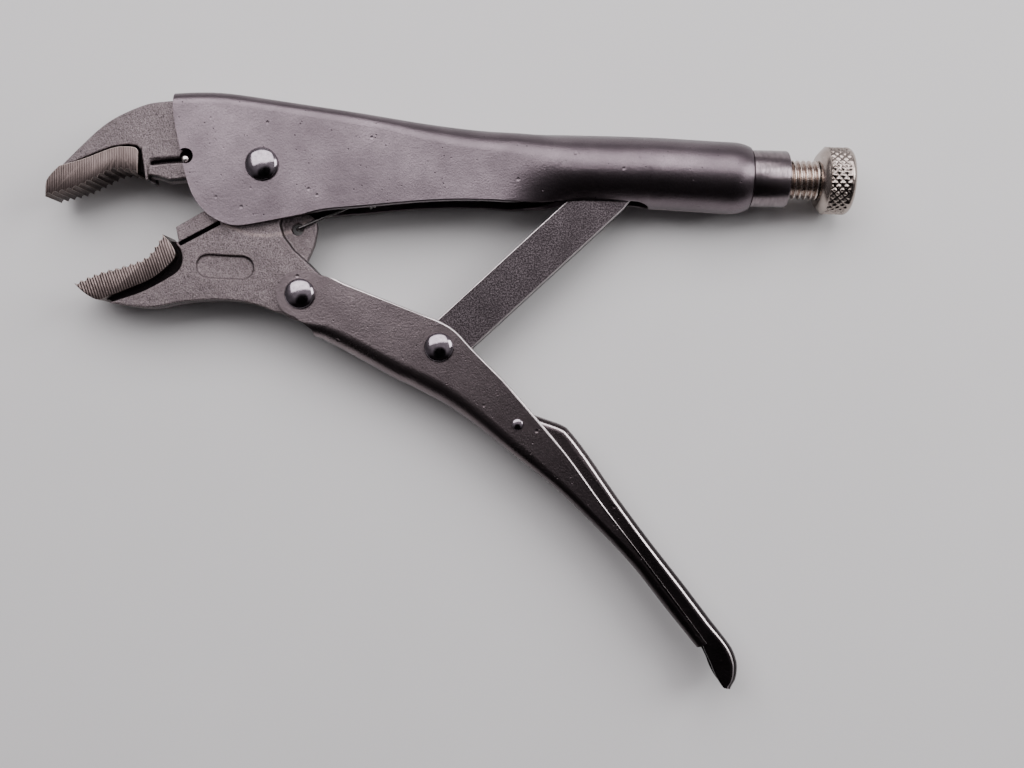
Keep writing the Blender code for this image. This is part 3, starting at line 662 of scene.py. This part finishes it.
def polished(name, light, dark, rough=0.07):
    """Polished dark plating with a faint haze and hairline scratches."""
    finish = Finish(name)
    haze = finish.noise(1.3, 4.0)
    hair = finish.noise(0.6, 3.0, (1.0, 14.0, 1.0), 35.0)
    colour = finish.mix(finish.ramp(haze, 0.3, 0.7), dark, light)
    finish.raise_by(hair, 0.003)
    finish.raise_by(finish.noise(2.2, 1.0), 0.02)
    return finish.done(colour, finish.ramp(haze, 0.3, 0.75, rough, rough + 0.08))


pin_radius, _, pin_half = half_sizes("jaw_stop_pin")
bright_pin = polished("bright_pin", (0.80, 0.76, 0.72), (0.62, 0.58, 0.55), 0.16)
crown = [(pin_radius * math.cos(a), pin_half - 0.5 + 0.5 * math.sin(a)) for a in spread(0, 1.5, 8)]
stop_pin = add_piece("stop_pin", turned_solid([(r, -z) for r, z in reversed(crown)] + crown,
                                              local("jaw_stop_pin"), sides=32), bright_pin)
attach(stop_pin, "upper_side")
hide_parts("jaw_stop_pin")

# ==== Main rivet ====
# The solid steel rivet that the movable jaw turns on. Its domed heads are polished black
# nickel.


def rivet(name, node, head_height, finish):
    """A rivet with a domed head on each side, sized from the CAD rivet."""
    head, _, top = half_sizes(node)
    seat = top - head_height
    dome = [(head * math.cos(a), seat + 0.25 + (head_height - 0.25) * math.sin(a))
            for a in (math.radians(d) for d in spread(0, 88, 14))]
    upper = [(head * 0.66, seat - 0.2), (head - 0.15, seat - 0.1), (head, seat + 0.05)] + dome
    profile = [(r, -z) for r, z in reversed(upper)] + upper
    return add_piece(name, turned_solid(profile, local(node)), finish)


black_nickel = polished("black_nickel", (0.36, 0.32, 0.35), (0.24, 0.21, 0.235))
main_rivet = rivet("main_rivet_domes", "main_rivet", 1.9, black_nickel)
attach(main_rivet, "upper_side")
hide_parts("main_rivet")

# ==== Thread bush ====
# A turned steel bush pressed into the barrel, tapped M12 for the screw. Only its collar
# shows behind the barrel, with turning marks round it and a broken edge at each end.
BUSH_BORE = 6.25
TURNING_PITCH = 0.28
bush_start, bush_end = ends("thread_bush")
COLLAR_RADIUS = 8.7
SPIGOT_RADIUS = BARREL_RADIUS - SHEET - 0.3


def turned_steel(name, light, dark, rough):
    """Machined steel with the tool's rings round the screw axis."""
    finish = Finish(name)
    rings_round = finish.stripes(TURNING_PITCH, 0.0, 0.4)
    grain = finish.noise(0.8, 3.0, (1.0, 0.25, 0.25))
    colour = finish.mix(finish.ramp(grain, 0.3, 0.7), dark, light)
    finish.raise_by(rings_round, 0.012)
    finish.raise_by(finish.noise(0.35, 2.0), 0.02)
    return finish.done(colour, finish.ramp(grain, 0.25, 0.75, rough + 0.06, rough - 0.04))


bush_steel = turned_steel("turned_bush", (0.26, 0.22, 0.232), (0.16, 0.135, 0.143), rough=0.2)
face = BARREL_END + 0.3
profile = [(BUSH_BORE, bush_start), (SPIGOT_RADIUS, bush_start), (SPIGOT_RADIUS, face),
           (COLLAR_RADIUS - 0.3, face), (COLLAR_RADIUS, face + 0.3), (COLLAR_RADIUS, bush_end - 0.7),
           (COLLAR_RADIUS - 0.25, bush_end - 0.25), (COLLAR_RADIUS - 0.8, bush_end),
           (BUSH_BORE + 0.5, bush_end), (BUSH_BORE, bush_end - 0.5), (BUSH_BORE, bush_start)]
bush = add_piece("bush_collar", turned_solid(profile, (0, AXIS_Y, 0), "X", 96), bush_steel)
bush.data.set_sharp_from_angle(angle=math.radians(35))
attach(bush, "upper_side")
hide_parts("thread_bush")

# ==== Return spring ====
# An extension spring of drawn wire that pulls the movable jaw open. It hooks into the jaw's
# tab and into the anchor plate inside the upper handle, and is built in one fixed shape.
SPRING_HOLE = (10.0, -18.6)
ANCHOR_PLACE = (57.0, 3.0)
SPRING_RADIUS = 2.4
WIRE_RADIUS = 0.5
SPRING_TURNS = 18
HOOK_RISE = 2.3
HOOK_REACH = 8.5
COIL_START = 22.5


def wire(path, radius, sides=12):
    """Round wire along a path of points."""
    pts = [Vector(p) for p in path]
    up = Vector((0, 0, 1))
    rings = []
    for i, point in enumerate(pts):
        along = (pts[min(i + 1, len(pts) - 1)] - pts[max(i - 1, 0)]).normalized()
        side = along.cross(up)
        if side.length < 0.2:
            side = along.cross(Vector((1, 0, 0)))
        side.normalize()
        up = side.cross(along).normalized()
        ring = []
        for angle in spread(0, 2 * math.pi, sides)[:-1]:
            ring.append(tuple(point + (side * math.cos(angle) + up * math.sin(angle)) * radius))
        rings.append(ring)
    return loft(rings)


def spring_hook(place, along):
    """A bent hook that passes through a hole across the tool."""
    out = Vector((0, 0, 1))
    bends = [(2.0, -HOOK_RISE), (0.9, -HOOK_RISE), (0.25, 0.3 - HOOK_RISE), (0.0, 1.0 - HOOK_RISE),
             (0.0, 0.0), (0.0, HOOK_RISE - 1.0), (0.25, HOOK_RISE - 0.3), (0.9, HOOK_RISE), (2.2, HOOK_RISE),
             (4.5, HOOK_RISE), (HOOK_REACH - 1.4, HOOK_RISE)]
    return [place + along * a + out * b for a, b in spline(bends, 3)]


def drawn_wire(name):
    """Drawn spring wire: bright with fine lines along it."""
    finish = Finish(name)
    draw = finish.noise(0.5, 3.0, (0.3, 1.0, 1.0))
    colour = finish.mix(finish.ramp(draw, 0.3, 0.7), (0.13, 0.12, 0.12), (0.30, 0.285, 0.28))
    finish.raise_by(draw, 0.01)
    return finish.done(colour, finish.ramp(draw, 0.2, 0.8, 0.22, 0.34))


first, last = Vector((*SPRING_HOLE, 0)), Vector((*ANCHOR_PLACE, 0))
along = (last - first).normalized()
across = Vector((-along.y, along.x, 0))
out = Vector((0, 0, 1))
coil_start, coil_end = first + along * COIL_START, last - along * HOOK_REACH
path = spring_hook(first, along)
for i in range(SPRING_TURNS * 20 + 1):
    turn = 2 * math.pi * i / 20
    spot = coil_start.lerp(coil_end, i / (SPRING_TURNS * 20))
    path.append(spot + (out * math.cos(turn) + across * math.sin(turn)) * SPRING_RADIUS)
path += spring_hook(last, -along)[::-1]
spring = add_piece("spring_wire", wire(path, WIRE_RADIUS), drawn_wire("drawn_wire"))
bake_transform(spring)
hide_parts("return_spring")

# ==== Spring anchor ====
# A small plate of sheared steel, welded under the roof of the upper handle, with a hole for
# the spring's hook.
anchor_roof = height_at(ROOF, ANCHOR_PLACE[0] + 5.0) - SHEET - 0.2
outline = circle(ANCHOR_PLACE, 3.2, 180, 360, 24)
outline += [(ANCHOR_PLACE[0] + 5.0, ANCHOR_PLACE[1] + 2.5), (ANCHOR_PLACE[0] + 5.0, anchor_roof),
            (ANCHOR_PLACE[0] - 4.0, anchor_roof), (ANCHOR_PLACE[0] - 4.0, ANCHOR_PLACE[1] + 1.5)]
anchor = add_piece("spring_anchor_plate", slab(outline, -1.0, 1.0), bush_steel, handle_edge)
carve(anchor, slab(circle(ANCHOR_PLACE, 1.7), -3, 3))
round_edges(anchor, 0.2, finish=1)
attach(anchor, "upper_side")
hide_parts("spring_anchor")

# ==== Movable jaw ====
# The lower forging turns on the main rivet between the cheeks. It carries the ground
# toothed band, the second cutter blade, a thin tab for the spring and a plain oval recess.
JAW_PIVOT = local("jaw_rivet")
TAB_HALF = 1.5
LOWER_TOOTH_DEPTH = 0.8
LOWER_SLIT_FLOOR = 2.6
SPRING_HOLE_RADIUS = 1.75
OVAL_MIDDLE = (-11.0, -31.0)
OVAL_LENGTH = 17.4
OVAL_WIDTH = 7.0
OVAL_DEPTH = 0.8
OVAL_TURN = -1.5
RUB_AND_REFLECTION_RADIUS = 21.2

boss = circle((0, 0), 11.0, 205, 312, 40)
lug = circle(JAW_PIVOT.xy, 8.0, 48, -130, 40)
under = spline([(-46.2, -42.9), (-34.0, -44.0), (-24.0, -42.0), (-12.0, -41.0), (-3.0, -41.8),
                (4.5, -44.2)], 8)
step = spline([(-44.2, -42.2), (-36.0, -39.2), (-27.9, -34.6), (-24.6, -31.6), (-24.2, -27.5),
               (-26.2, -24.0)], 6)
body = boss + [(5.2, -17.5), (6.2, -20.9), (9.5, -25.2), (13.4, -28.5)] + lug + under[::-1]
body += step[1:] + [(-24.4, -23.6), (-13.6, -17.5), (-14.4, -12.4), (-12.8, -9.4)]
bite = spline([(-30.0, -21.7), (-31.8, -25.0), (-35.0, -28.9), (-41.9, -31.7), (-49.0, -33.9),
               (-56.3, -37.3)], 8)
rim = spline([(-56.3, -37.3), (-52.6, -40.4), (-48.8, -42.1), (-45.6, -40.9), (-38.5, -37.9),
              (-32.3, -34.9), (-27.2, -30.4), (-25.8, -27.6), (-27.4, -24.3), (-30.0, -21.7)], 6)
band = teeth(bite, BAND_TEETH, LOWER_TOOTH_DEPTH, 1) + rim[1:-1]
floor_shape = [(-47.5, -41.8), (-44.5, -38.5), (-34.0, -33.5), (-29.0, -27.5), (-29.0, -23.4), (-25.8, -23.6),
               (-21.0, -25.0), (-21.0, -33.0), (-30.0, -39.0), (-43.0, -42.6)]
# The lighter arc round the pivot is wear and a painted reflection of the cheek's edge.
lower_blast = blasted("blasted_lower_jaw", (0.32, 0.27, 0.275), (0.09, 0.074, 0.077), RUB_AND_REFLECTION_RADIUS)
lower_ground = ground_face("ground_lower_band", (0.235, 0.188, 0.176), (0.06, 0.045, 0.042),
                           0.80, 20.0, 0.09)
lower_jaw = add_piece("movable_jaw_forging", slab(body, -JAW_HALF, JAW_HALF),
                      lower_blast, lower_ground, band_edge)
carve(lower_jaw, slab(floor_shape, -GROOVE_HALF, GROOVE_HALF), "UNION")
carve(lower_jaw, blade([(-25.2, -24.4), (-13.0, -17.6)], [(-26.6, -18.7), (-14.0, -11.0)]), "UNION")
tab = spline([(3.0, -16.0), (8.0, -13.6), (13.0, -13.8), (15.6, -16.0), (16.0, -18.8), (15.2, -23.5)], 5)
carve(lower_jaw, slab(tab + [(13.4, -28.0), (9.0, -27.6), (3.0, -20.0)], -TAB_HALF, TAB_HALF), "UNION")
carve(lower_jaw, slab(circle(SPRING_HOLE, SPRING_HOLE_RADIUS), -PAST_SIDE, PAST_SIDE))
slit = [(-25.4, -23.9), (-13.2, -17.0), (-12.6, -18.1), (-24.8, -25.0)]
turn = math.radians(OVAL_TURN)
reach = (OVAL_LENGTH - OVAL_WIDTH) / 2
right = (OVAL_MIDDLE[0] + reach * math.cos(turn), OVAL_MIDDLE[1] + reach * math.sin(turn))
left = (OVAL_MIDDLE[0] - reach * math.cos(turn), OVAL_MIDDLE[1] - reach * math.sin(turn))
oval = circle(right, OVAL_WIDTH / 2, -90 + OVAL_TURN, 90 + OVAL_TURN, 20)
oval += circle(left, OVAL_WIDTH / 2, 90 + OVAL_TURN, 270 + OVAL_TURN, 20)
for side in (-1, 1):
    carve(lower_jaw, slab(slit, side * LOWER_SLIT_FLOOR, side * PAST_SIDE))
    carve(lower_jaw, slab(oval, side * (JAW_HALF - OVAL_DEPTH), side * PAST_SIDE))
forge(lower_jaw)
add_band(lower_jaw, band, BAND_HALF, lower_ground, band_edge)
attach(lower_jaw, "lower_jaw")
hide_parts("movable_jaw")

# ==== Jaw rivet ====
# The rivet that joins the lower handle's ears to the movable jaw, with the same domed heads
# in polished black nickel.
jaw_rivet = rivet("jaw_rivet_domes", "jaw_rivet", 1.8, black_nickel)
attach(jaw_rivet, "lower_jaw")
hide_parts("jaw_rivet")

# ==== Lower handle ====
# The second folded channel straddles the movable jaw with two round ears and narrows to a
# round-backed grip. Its colour darkens towards the rear as painted shade, and its rubbed rim is painted
# bright as a highlight.
FRONT_BEND = 3.2
WEB_BEND = 6.0
REAR_BEND = 3.1
EAR_RADIUS = 7.1

HANDLE_RIM = spline([(1.0, -23.0), (22.0, -33.4), (29.7, -36.6), (48.2, -43.4), (54.5, -45.6), (59.6, -48.5),
                     (65.0, -54.0), (74.5, -63.0), (84.9, -74.2), (95.3, -86.2), (105.7, -99.9),
                     (118.0, -115.3), (128.5, -128.5), (138.0, -140.7)], 6)
HANDLE_WEB = spline([(-6.0, -47.5), (14.5, -50.8), (22.5, -53.8), (40.4, -63.0), (45.0, -65.0), (50.0, -67.4),
                     (57.5, -71.2), (66.5, -77.0), (78.0, -85.6), (90.2, -94.6), (101.7, -104.8),
                     (114.9, -118.0), (125.4, -130.7), (135.2, -142.2)], 6)


def web_bend(i):
    """Outer radius of the lower handle's bends at one of its stations."""
    count = len(HANDLE_WEB)
    tightest = FRONT_BEND + (WEB_BEND - FRONT_BEND) * ease(i, 0, 18)
    return tightest + (REAR_BEND - WEB_BEND) * ease(i, count * 0.4, count * 0.75)


rings = []
for i, (edge_point, web_point) in enumerate(zip(HANDLE_RIM, HANDLE_WEB)):
    rings.append(fold(web_point, edge_point, CHANNEL_HALF, web_bend(i), SHEET))
# Rubbed bare steel on edges, its colour raised as a painted highlight along rims and bends.
rubbed_edge_and_highlight = bare_edge("rubbed_edge_and_highlight", (0.78, 0.72, 0.72), 0.32)
# Painted shade: the plating darkens from 45 mm to 112 mm along the tool.
lower_plate = satin_plate("plated_lower_sheet", (0.250, 0.210, 0.216), (0.130, 0.107, 0.112), 0.29, 0.07,
                          painted_shade_span=(45.0, 112.0))
lower_handle = add_piece("lower_handle_sheet", loft(rings, rubbed_and_highlit=RIM_RUBBED_AND_HIGHLIT), lower_plate, rubbed_edge_and_highlight)
keep = circle(JAW_PIVOT.xy, EAR_RADIUS, 72, 258, 48) + [(16.2, -49.4), (17.4, -53.0), (20.0, -62.0)]
keep += [(100.0, -150.0), (133.2, -143.8), (134.8, -142.6)]
keep += spline([(135.2, -140.6), (134.9, -138.0), (133.6, -135.0), (131.8, -132.4)], 4)
keep += [(131.0, -110.0), (70.0, -30.0), (26.0, -34.95), (20.3, -33.3)]
carve(lower_handle, slab(keep, -THROUGH, THROUGH), "INTERSECT")
round_edges(lower_handle, 0.5, finish=1)
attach(lower_handle, "lower_grip")
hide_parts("lower_handle")

# ==== Toggle rivet ====
# The rivet that the toggle link turns on, through both cheeks of the lower handle. Its
# domed heads are polished black nickel.
toggle_rivet = rivet("toggle_rivet_domes", "toggle_rivet", 1.8, black_nickel)
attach(toggle_rivet, "lower_grip")
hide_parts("toggle_rivet")

# ==== Lever pin ====
# The small pin that the release lever turns on, through both cheeks of the lower handle. Its
# heads are low and plated with the same black nickel.
lever_pin = rivet("lever_pin_heads", "lever_pin", 0.7, black_nickel)
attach(lever_pin, "lower_grip")
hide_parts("lever_pin")

# ==== Toggle link ====
# A forged bar that pushes from the lower handle to the tip of the screw. Dark, grainy
# plating on its broad faces and long edges rubbed bright by the handles, painted brighter still as a
# highlight.
LINK_HALF = 4.6
LINK_WIDTH_HALF = 6.75
LINK_END_RADIUS = 7.2
NOSE_RADIUS = 5.3
NOSE = Vector((111.3, AXIS_Y))
TOGGLE_PIVOT = local("toggle_rivet").xy


def grainy_plate(name, light, dark):
    """Dark plating over a coarse scale: dark ground with scattered bright grains."""
    finish = Finish(name)
    grit = finish.noise(0.5, 3.0, roughness=0.75)
    cloud = finish.noise(8.0, 3.0)
    colour = finish.mix(finish.ramp(grit, 0.42, 0.66), dark, light)
    colour = finish.mix(finish.ramp(cloud, 0.35, 0.7, 0.0, 0.5), colour, dark)
    finish.raise_by(grit, 0.12)
    return finish.done(colour, finish.ramp(grit, 0.3, 0.7, 0.50, 0.36))


span = NOSE - TOGGLE_PIVOT
heading = math.degrees(math.atan2(span.y, span.x))
along = span.normalized()
side = Vector((-along.y, along.x))
start, end = TOGGLE_PIVOT + along * 8, NOSE - along * 9
outline = circle(TOGGLE_PIVOT, LINK_END_RADIUS, heading + 70, heading + 290, 32)
outline += [tuple(start - side * LINK_WIDTH_HALF), tuple(end - side * LINK_WIDTH_HALF)]
outline += circle(NOSE, NOSE_RADIUS, heading - 75, heading + 75, 24)
outline += [tuple(end + side * LINK_WIDTH_HALF), tuple(start + side * LINK_WIDTH_HALF)]
link_plate = grainy_plate("grainy_plating", (0.15, 0.128, 0.137), (0.03, 0.025, 0.027))
link = add_piece("toggle_link_bar", slab(outline, -LINK_HALF, LINK_HALF), link_plate, rubbed_edge_and_highlight)
round_edges(link, 0.34, finish=1)
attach(link, "toggle")
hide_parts("toggle_link")

# ==== Release lever ====
# A narrower folded channel that nests in the rear of the lower handle and turns on a small
# pin. Pressing its tail towards the handle pushes the link off its locked position.
LEVER_SHEET = 1.8
LEVER_HALF = 5.4
LEVER_BEND = 2.6
LEVER_GAP = 0.3
LEVER_ROOF = spline([(65.0, -62.6), (72.5, -66.9), (79.5, -71.5), (86.5, -74.2), (92.8, -76.3), (95.4, -78.3),
                     (100.8, -84.9), (110.5, -98.1), (120.7, -111.1), (131.3, -123.9), (139.6, -134.3)], 6)
TAIL_ROOF = spline([(139.6, -134.3), (143.2, -138.6), (146.3, -142.6), (147.9, -146.4), (148.2, -149.4),
                    (147.7, -152.4), (146.2, -155.0)], 4)[1:]


def nearest_on(curve, point):
    """The nearest place on a curve, the direction across it, and where in the curve it is."""
    best = None
    for i in range(len(curve) - 1):
        a, b = Vector(curve[i]), Vector(curve[i + 1])
        run = b - a
        share = min(max((Vector(point) - a).dot(run) / run.length_squared, 0.0), 1.0)
        foot = a + run * share
        gap = (Vector(point) - foot).length
        if best is None or gap < best[0]:
            best = (gap, foot, Vector((-run.y, run.x)).normalized(), i + share)
    return best[1:]


rings = []
for i, roof in enumerate(LEVER_ROOF):
    foot, across, place_on = nearest_on(HANDLE_WEB, roof)
    bend = web_bend(place_on)
    room = (bend - SHEET) ** 2 - (bend - (CHANNEL_HALF - LEVER_HALF)) ** 2
    edge = foot + across * (bend - math.sqrt(max(room, 0.0)) + LEVER_GAP)
    edge = edge.lerp(Vector(roof), 0.45 * (1 - ease(i, 0, 6)))
    rings.append(fold(roof, edge, LEVER_HALF, LEVER_BEND, LEVER_SHEET))
tail_edge = spline([tuple(edge), (136.3, -139.6), (138.1, -143.9), (139.8, -147.2), (140.9, -149.9),
                    (142.4, -152.6), (143.8, -154.5)], 4)[1:]
for roof, edge in zip(TAIL_ROOF, tail_edge):
    rings.append(fold(roof, edge, LEVER_HALF, LEVER_BEND, LEVER_SHEET))
# Painted shade: the lever's plating is a darker copy of the handle's and darkens further from 84 mm to 118 mm
# along the tool.
lever_plate = satin_plate("plated_lever", (0.145, 0.120, 0.126), (0.075, 0.062, 0.065), 0.27, 0.05,
                          painted_shade_span=(84.0, 118.0))
# Painted highlight: a strip in the middle of each bend takes the bright edge finish.
lever = add_piece("release_lever_sheet", loft(rings, rubbed_and_highlit=BEND_HIGHLIGHT), lever_plate, rubbed_edge_and_highlight)
round_edges(lever, 0.22)
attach(lever, "lever")
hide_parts("release_lever")

# ==== Adjusting screw ====
# An M12 x 1.75 steel screw, nickel plated. Its tip is the link's seat, its thread runs in the
# bush and its rear end is pressed into the knob.
SCREW_RADIUS = 5.95
THREAD_PITCH = 1.75
THREAD_DEPTH = 1.0
THREAD_START = 132.0
SCREW_SIDES = 72
STEPS_PER_PITCH = 14
screw_tip, screw_end = ends("adjusting_screw")


def thread_depth_at(phase):
    """Depth of a metric thread, from 0 at a crest to 1 at the root."""
    phase -= math.floor(phase)
    rise = min(phase, 1 - phase) * 2
    return min(max((rise - 0.12) / 0.72, 0.0), 1.0)


rings = []
positions = [screw_tip, screw_tip + 0.4, screw_tip + 2.5, THREAD_START - 2.0]
step_length = THREAD_PITCH / STEPS_PER_PITCH
count = int((screw_end - THREAD_START) / step_length)
positions += [THREAD_START + i * step_length for i in range(count + 1)]
for x in positions:
    chamfer = 2.6 * (1 - min((x - screw_tip) / 2.5, 1.0))
    cut = ease(x, THREAD_START, THREAD_START + 2) * (1 - ease(x, screw_end - 1.0, screw_end))
    ring = []
    for angle in spread(0, 2 * math.pi, SCREW_SIDES)[:-1]:
        groove = thread_depth_at(x / THREAD_PITCH - angle / (2 * math.pi))
        radius = SCREW_RADIUS - chamfer - THREAD_DEPTH * groove * cut
        ring.append((x, AXIS_Y + radius * math.cos(angle), radius * math.sin(angle)))
    rings.append(ring)


def plated_thread(name):
    """Nickel plating rubbed by the bush: warm in the roots, bright on the crests."""
    finish = Finish(name)
    patch = finish.noise(1.8, 3.0)
    colour = finish.mix(finish.ramp(patch, 0.3, 0.7), (0.38, 0.31, 0.275), (0.52, 0.44, 0.395))
    colour = finish.mix(finish.worn(0.5, 0.56), colour, (0.74, 0.66, 0.60))
    finish.raise_by(finish.noise(0.4, 3.0, (1.0, 0.3, 0.3)), 0.015)
    return finish.done(colour, finish.ramp(patch, 0.2, 0.8, 0.22, 0.32))


screw = add_piece("screw_thread", loft(rings), plated_thread("plated_thread"))
screw.data.set_sharp_from_angle(angle=math.radians(60))
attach(screw, "screw")
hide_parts("adjusting_screw")

# ==== Adjusting knob ====
# A turned steel knob with a diamond knurl rolled round it, bright nickel plated. It is
# chamfered in front and well rounded behind, where the knurl runs out.
KNURLS_ROUND = 28
KNURL_DEPTH = 0.5
STEPS_PER_KNURL = 8
KNOB_ROUND = 1.9
knob_start, knob_end = ends("adjusting_knob")
knob_radius = half_sizes("adjusting_knob")[1]
knurl_pitch = 2 * math.pi * knob_radius / KNURLS_ROUND


def tooth(phase):
    phase -= math.floor(phase)
    return 1 - abs(2 * phase - 1)


sides = KNURLS_ROUND * STEPS_PER_KNURL
knurl_start, knurl_end = knob_start + 2.1, knob_end - 1.5
rows = [(knob_start, 5.2, 0.0), (knob_start, knob_radius - 2.6, 0.0),
        (knob_start + 0.15, knob_radius - 2.2, 0.0), (knob_start + 1.7, knob_radius - 0.4, 0.0),
        (knob_start + 1.95, knob_radius - 0.3, 0.0)]
count = int((knurl_end - knurl_start) / (knurl_pitch / STEPS_PER_KNURL))
for x in spread(knurl_start, knurl_end, count):
    shoulder = max(x - (knob_end - KNOB_ROUND), 0.0)
    radius = knob_radius - KNOB_ROUND + math.sqrt(KNOB_ROUND ** 2 - shoulder ** 2)
    window = ease(x, knurl_start, knurl_start + 0.35) * (1 - ease(x, knurl_end - 0.9, knurl_end))
    rows.append((x, radius, window))
last_shoulder = math.asin((knurl_end - (knob_end - KNOB_ROUND)) / KNOB_ROUND)
for angle in spread(last_shoulder, math.pi / 2, 8)[1:]:
    rows.append((knob_end - KNOB_ROUND + KNOB_ROUND * math.sin(angle),
                 knob_radius - KNOB_ROUND + KNOB_ROUND * math.cos(angle), 0.0))
rows += [(knob_end, knob_radius * 0.55, 0.0), (knob_end - 0.25, knob_radius * 0.5, 0.0),
         (knob_end - 0.25, 0.6, 0.0)]
rings = []
for x, base, window in rows:
    ring = []
    for i in range(sides):
        around = i / STEPS_PER_KNURL
        run = (x - knurl_start) / knurl_pitch
        rise = min(tooth(around + run), tooth(around - run))
        radius = base - KNURL_DEPTH * window * (1 - min(rise * 1.35, 1.0)) - 0.05 * window
        angle = 2 * math.pi * i / sides
        ring.append((x, AXIS_Y + radius * math.cos(angle), radius * math.sin(angle)))
    rings.append(ring)


def bright_nickel(name):
    """Bright nickel, warm where it is thin, and darker in the grooves of the knurl."""
    finish = Finish(name)
    patch = finish.noise(2.5, 3.0)
    colour = finish.mix(finish.ramp(patch, 0.3, 0.7), (0.37, 0.315, 0.28), (0.48, 0.42, 0.38))
    groove_darkening = finish.ramp(finish.nodes.new("ShaderNodeNewGeometry").outputs["Pointiness"], 0.50, 0.44)
    colour = finish.mix(groove_darkening, colour, (0.12, 0.10, 0.09))
    finish.raise_by(finish.noise(0.3, 3.0), 0.015)
    return finish.done(colour, finish.ramp(patch, 0.2, 0.8, 0.18, 0.30))


knob = add_piece("knob_knurled", loft(rings), bright_nickel("bright_nickel"))
knob.data.set_sharp_from_angle(angle=math.radians(50))
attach(knob, "knob")
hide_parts("adjusting_knob")

# ==== Floor, light and camera ====
# A plain pale sheet that the tool lies on, a large soft light above and behind it, a second
# from the right, and a camera that looks straight down on the tool.
FLOOR_HALF = 1.6
CAMERA_OFFSET = Vector((77.1, -64.1, 355.0))
CAMERA_TURN = 1.6
CAMERA_LENS = 40.52


def area_light(name, place, aim, size, power, colour):
    """A soft rectangular light at a place in metres, turned to a point."""
    data = bpy.data.lights.new(name, "AREA")
    data.shape = "RECTANGLE"
    data.size, data.size_y = size
    data.energy = power
    data.color = colour
    light = bpy.data.objects.new(name, data)
    light.location = place
    light.rotation_euler = (Vector(aim) - Vector(place)).to_track_quat("-Z", "Y").to_euler()
    bpy.context.scene.collection.objects.link(light)


floor_finish = Finish("pale_floor")
floor_finish.shader.inputs["Metallic"].default_value = 0.0
patch = floor_finish.noise(60.0, 3.0)
floor_tone = floor_finish.mix(patch, (0.70, 0.70, 0.69), (0.74, 0.74, 0.73))
floor_finish.raise_by(floor_finish.noise(0.9, 3.0), 0.02)
floor_mesh = bpy.data.meshes.new("floor")
corners = [(-FLOOR_HALF, -FLOOR_HALF, 0), (FLOOR_HALF, -FLOOR_HALF, 0), (FLOOR_HALF, FLOOR_HALF, 0),
           (-FLOOR_HALF, FLOOR_HALF, 0)]
floor_mesh.from_pydata(corners, [], [(0, 1, 2, 3)])
floor_mesh.materials.append(floor_finish.done(floor_tone, floor_finish.ramp(patch, 0.0, 1.0, 0.55, 0.65)))
floor = bpy.data.objects.new("floor", floor_mesh)
bpy.context.scene.collection.objects.link(floor)

area_light("north_window", (-0.12, 0.60, 0.80), (0.0, 0.05, 0.0), (1.3, 0.80), 12.0, (1.0, 0.96, 0.99))
area_light("east_window", (0.80, 0.35, 0.62), (0.0, 0.0, 0.0), (0.5, 0.6), 6.0, (1.0, 0.98, 1.0))


def room_light():
    """A dim room, pale to the north above and dark to the south and over the tool."""
    world = bpy.data.worlds.new("room")
    world.use_nodes = True
    nodes, links = world.node_tree.nodes, world.node_tree.links
    way = nodes.new("ShaderNodeTexCoord").outputs["Generated"]
    colour = None
    looks = [((0.10, 0.62, 0.78), 0.35, 0.98, (0.15, 0.14, 0.15, 1.0), (0.62, 0.58, 0.62, 1.0)),
             ((0.0, -0.94, 0.34), 0.50, 0.80, None, (0.012, 0.010, 0.011, 1.0)),
             ((0.02, -0.33, 0.94), 0.90, 0.95, None, (0.004, 0.004, 0.004, 1.0))]
    for direction, low, high, far, near in looks:
        lean = nodes.new("ShaderNodeVectorMath")
        lean.operation = "DOT_PRODUCT"
        lean.inputs[1].default_value = direction
        links.new(way, lean.inputs[0])
        share = nodes.new("ShaderNodeMapRange")
        share.interpolation_type = "SMOOTHSTEP"
        share.inputs["From Min"].default_value = low
        share.inputs["From Max"].default_value = high
        links.new(lean.outputs["Value"], share.inputs["Value"])
        tone = nodes.new("ShaderNodeMix")
        tone.data_type = "RGBA"
        if far:
            tone.inputs[6].default_value = far
        else:
            links.new(colour, tone.inputs[6])
        tone.inputs[7].default_value = near
        links.new(share.outputs["Result"], tone.inputs["Factor"])
        colour = tone.outputs[2]
    links.new(colour, nodes["Background"].inputs["Color"])
    nodes["Background"].inputs["Strength"].default_value = 0.9
    return world


bpy.context.scene.world = room_light()

camera_data = bpy.data.cameras.new("camera")
camera_data.lens = CAMERA_LENS
camera_data.sensor_width = 36.0
camera = bpy.data.objects.new("camera", camera_data)
camera.location = PIVOT + CAMERA_OFFSET * MM
camera.rotation_euler = (0, 0, math.radians(CAMERA_TURN))
bpy.context.scene.collection.objects.link(camera)
bpy.context.scene.camera = camera
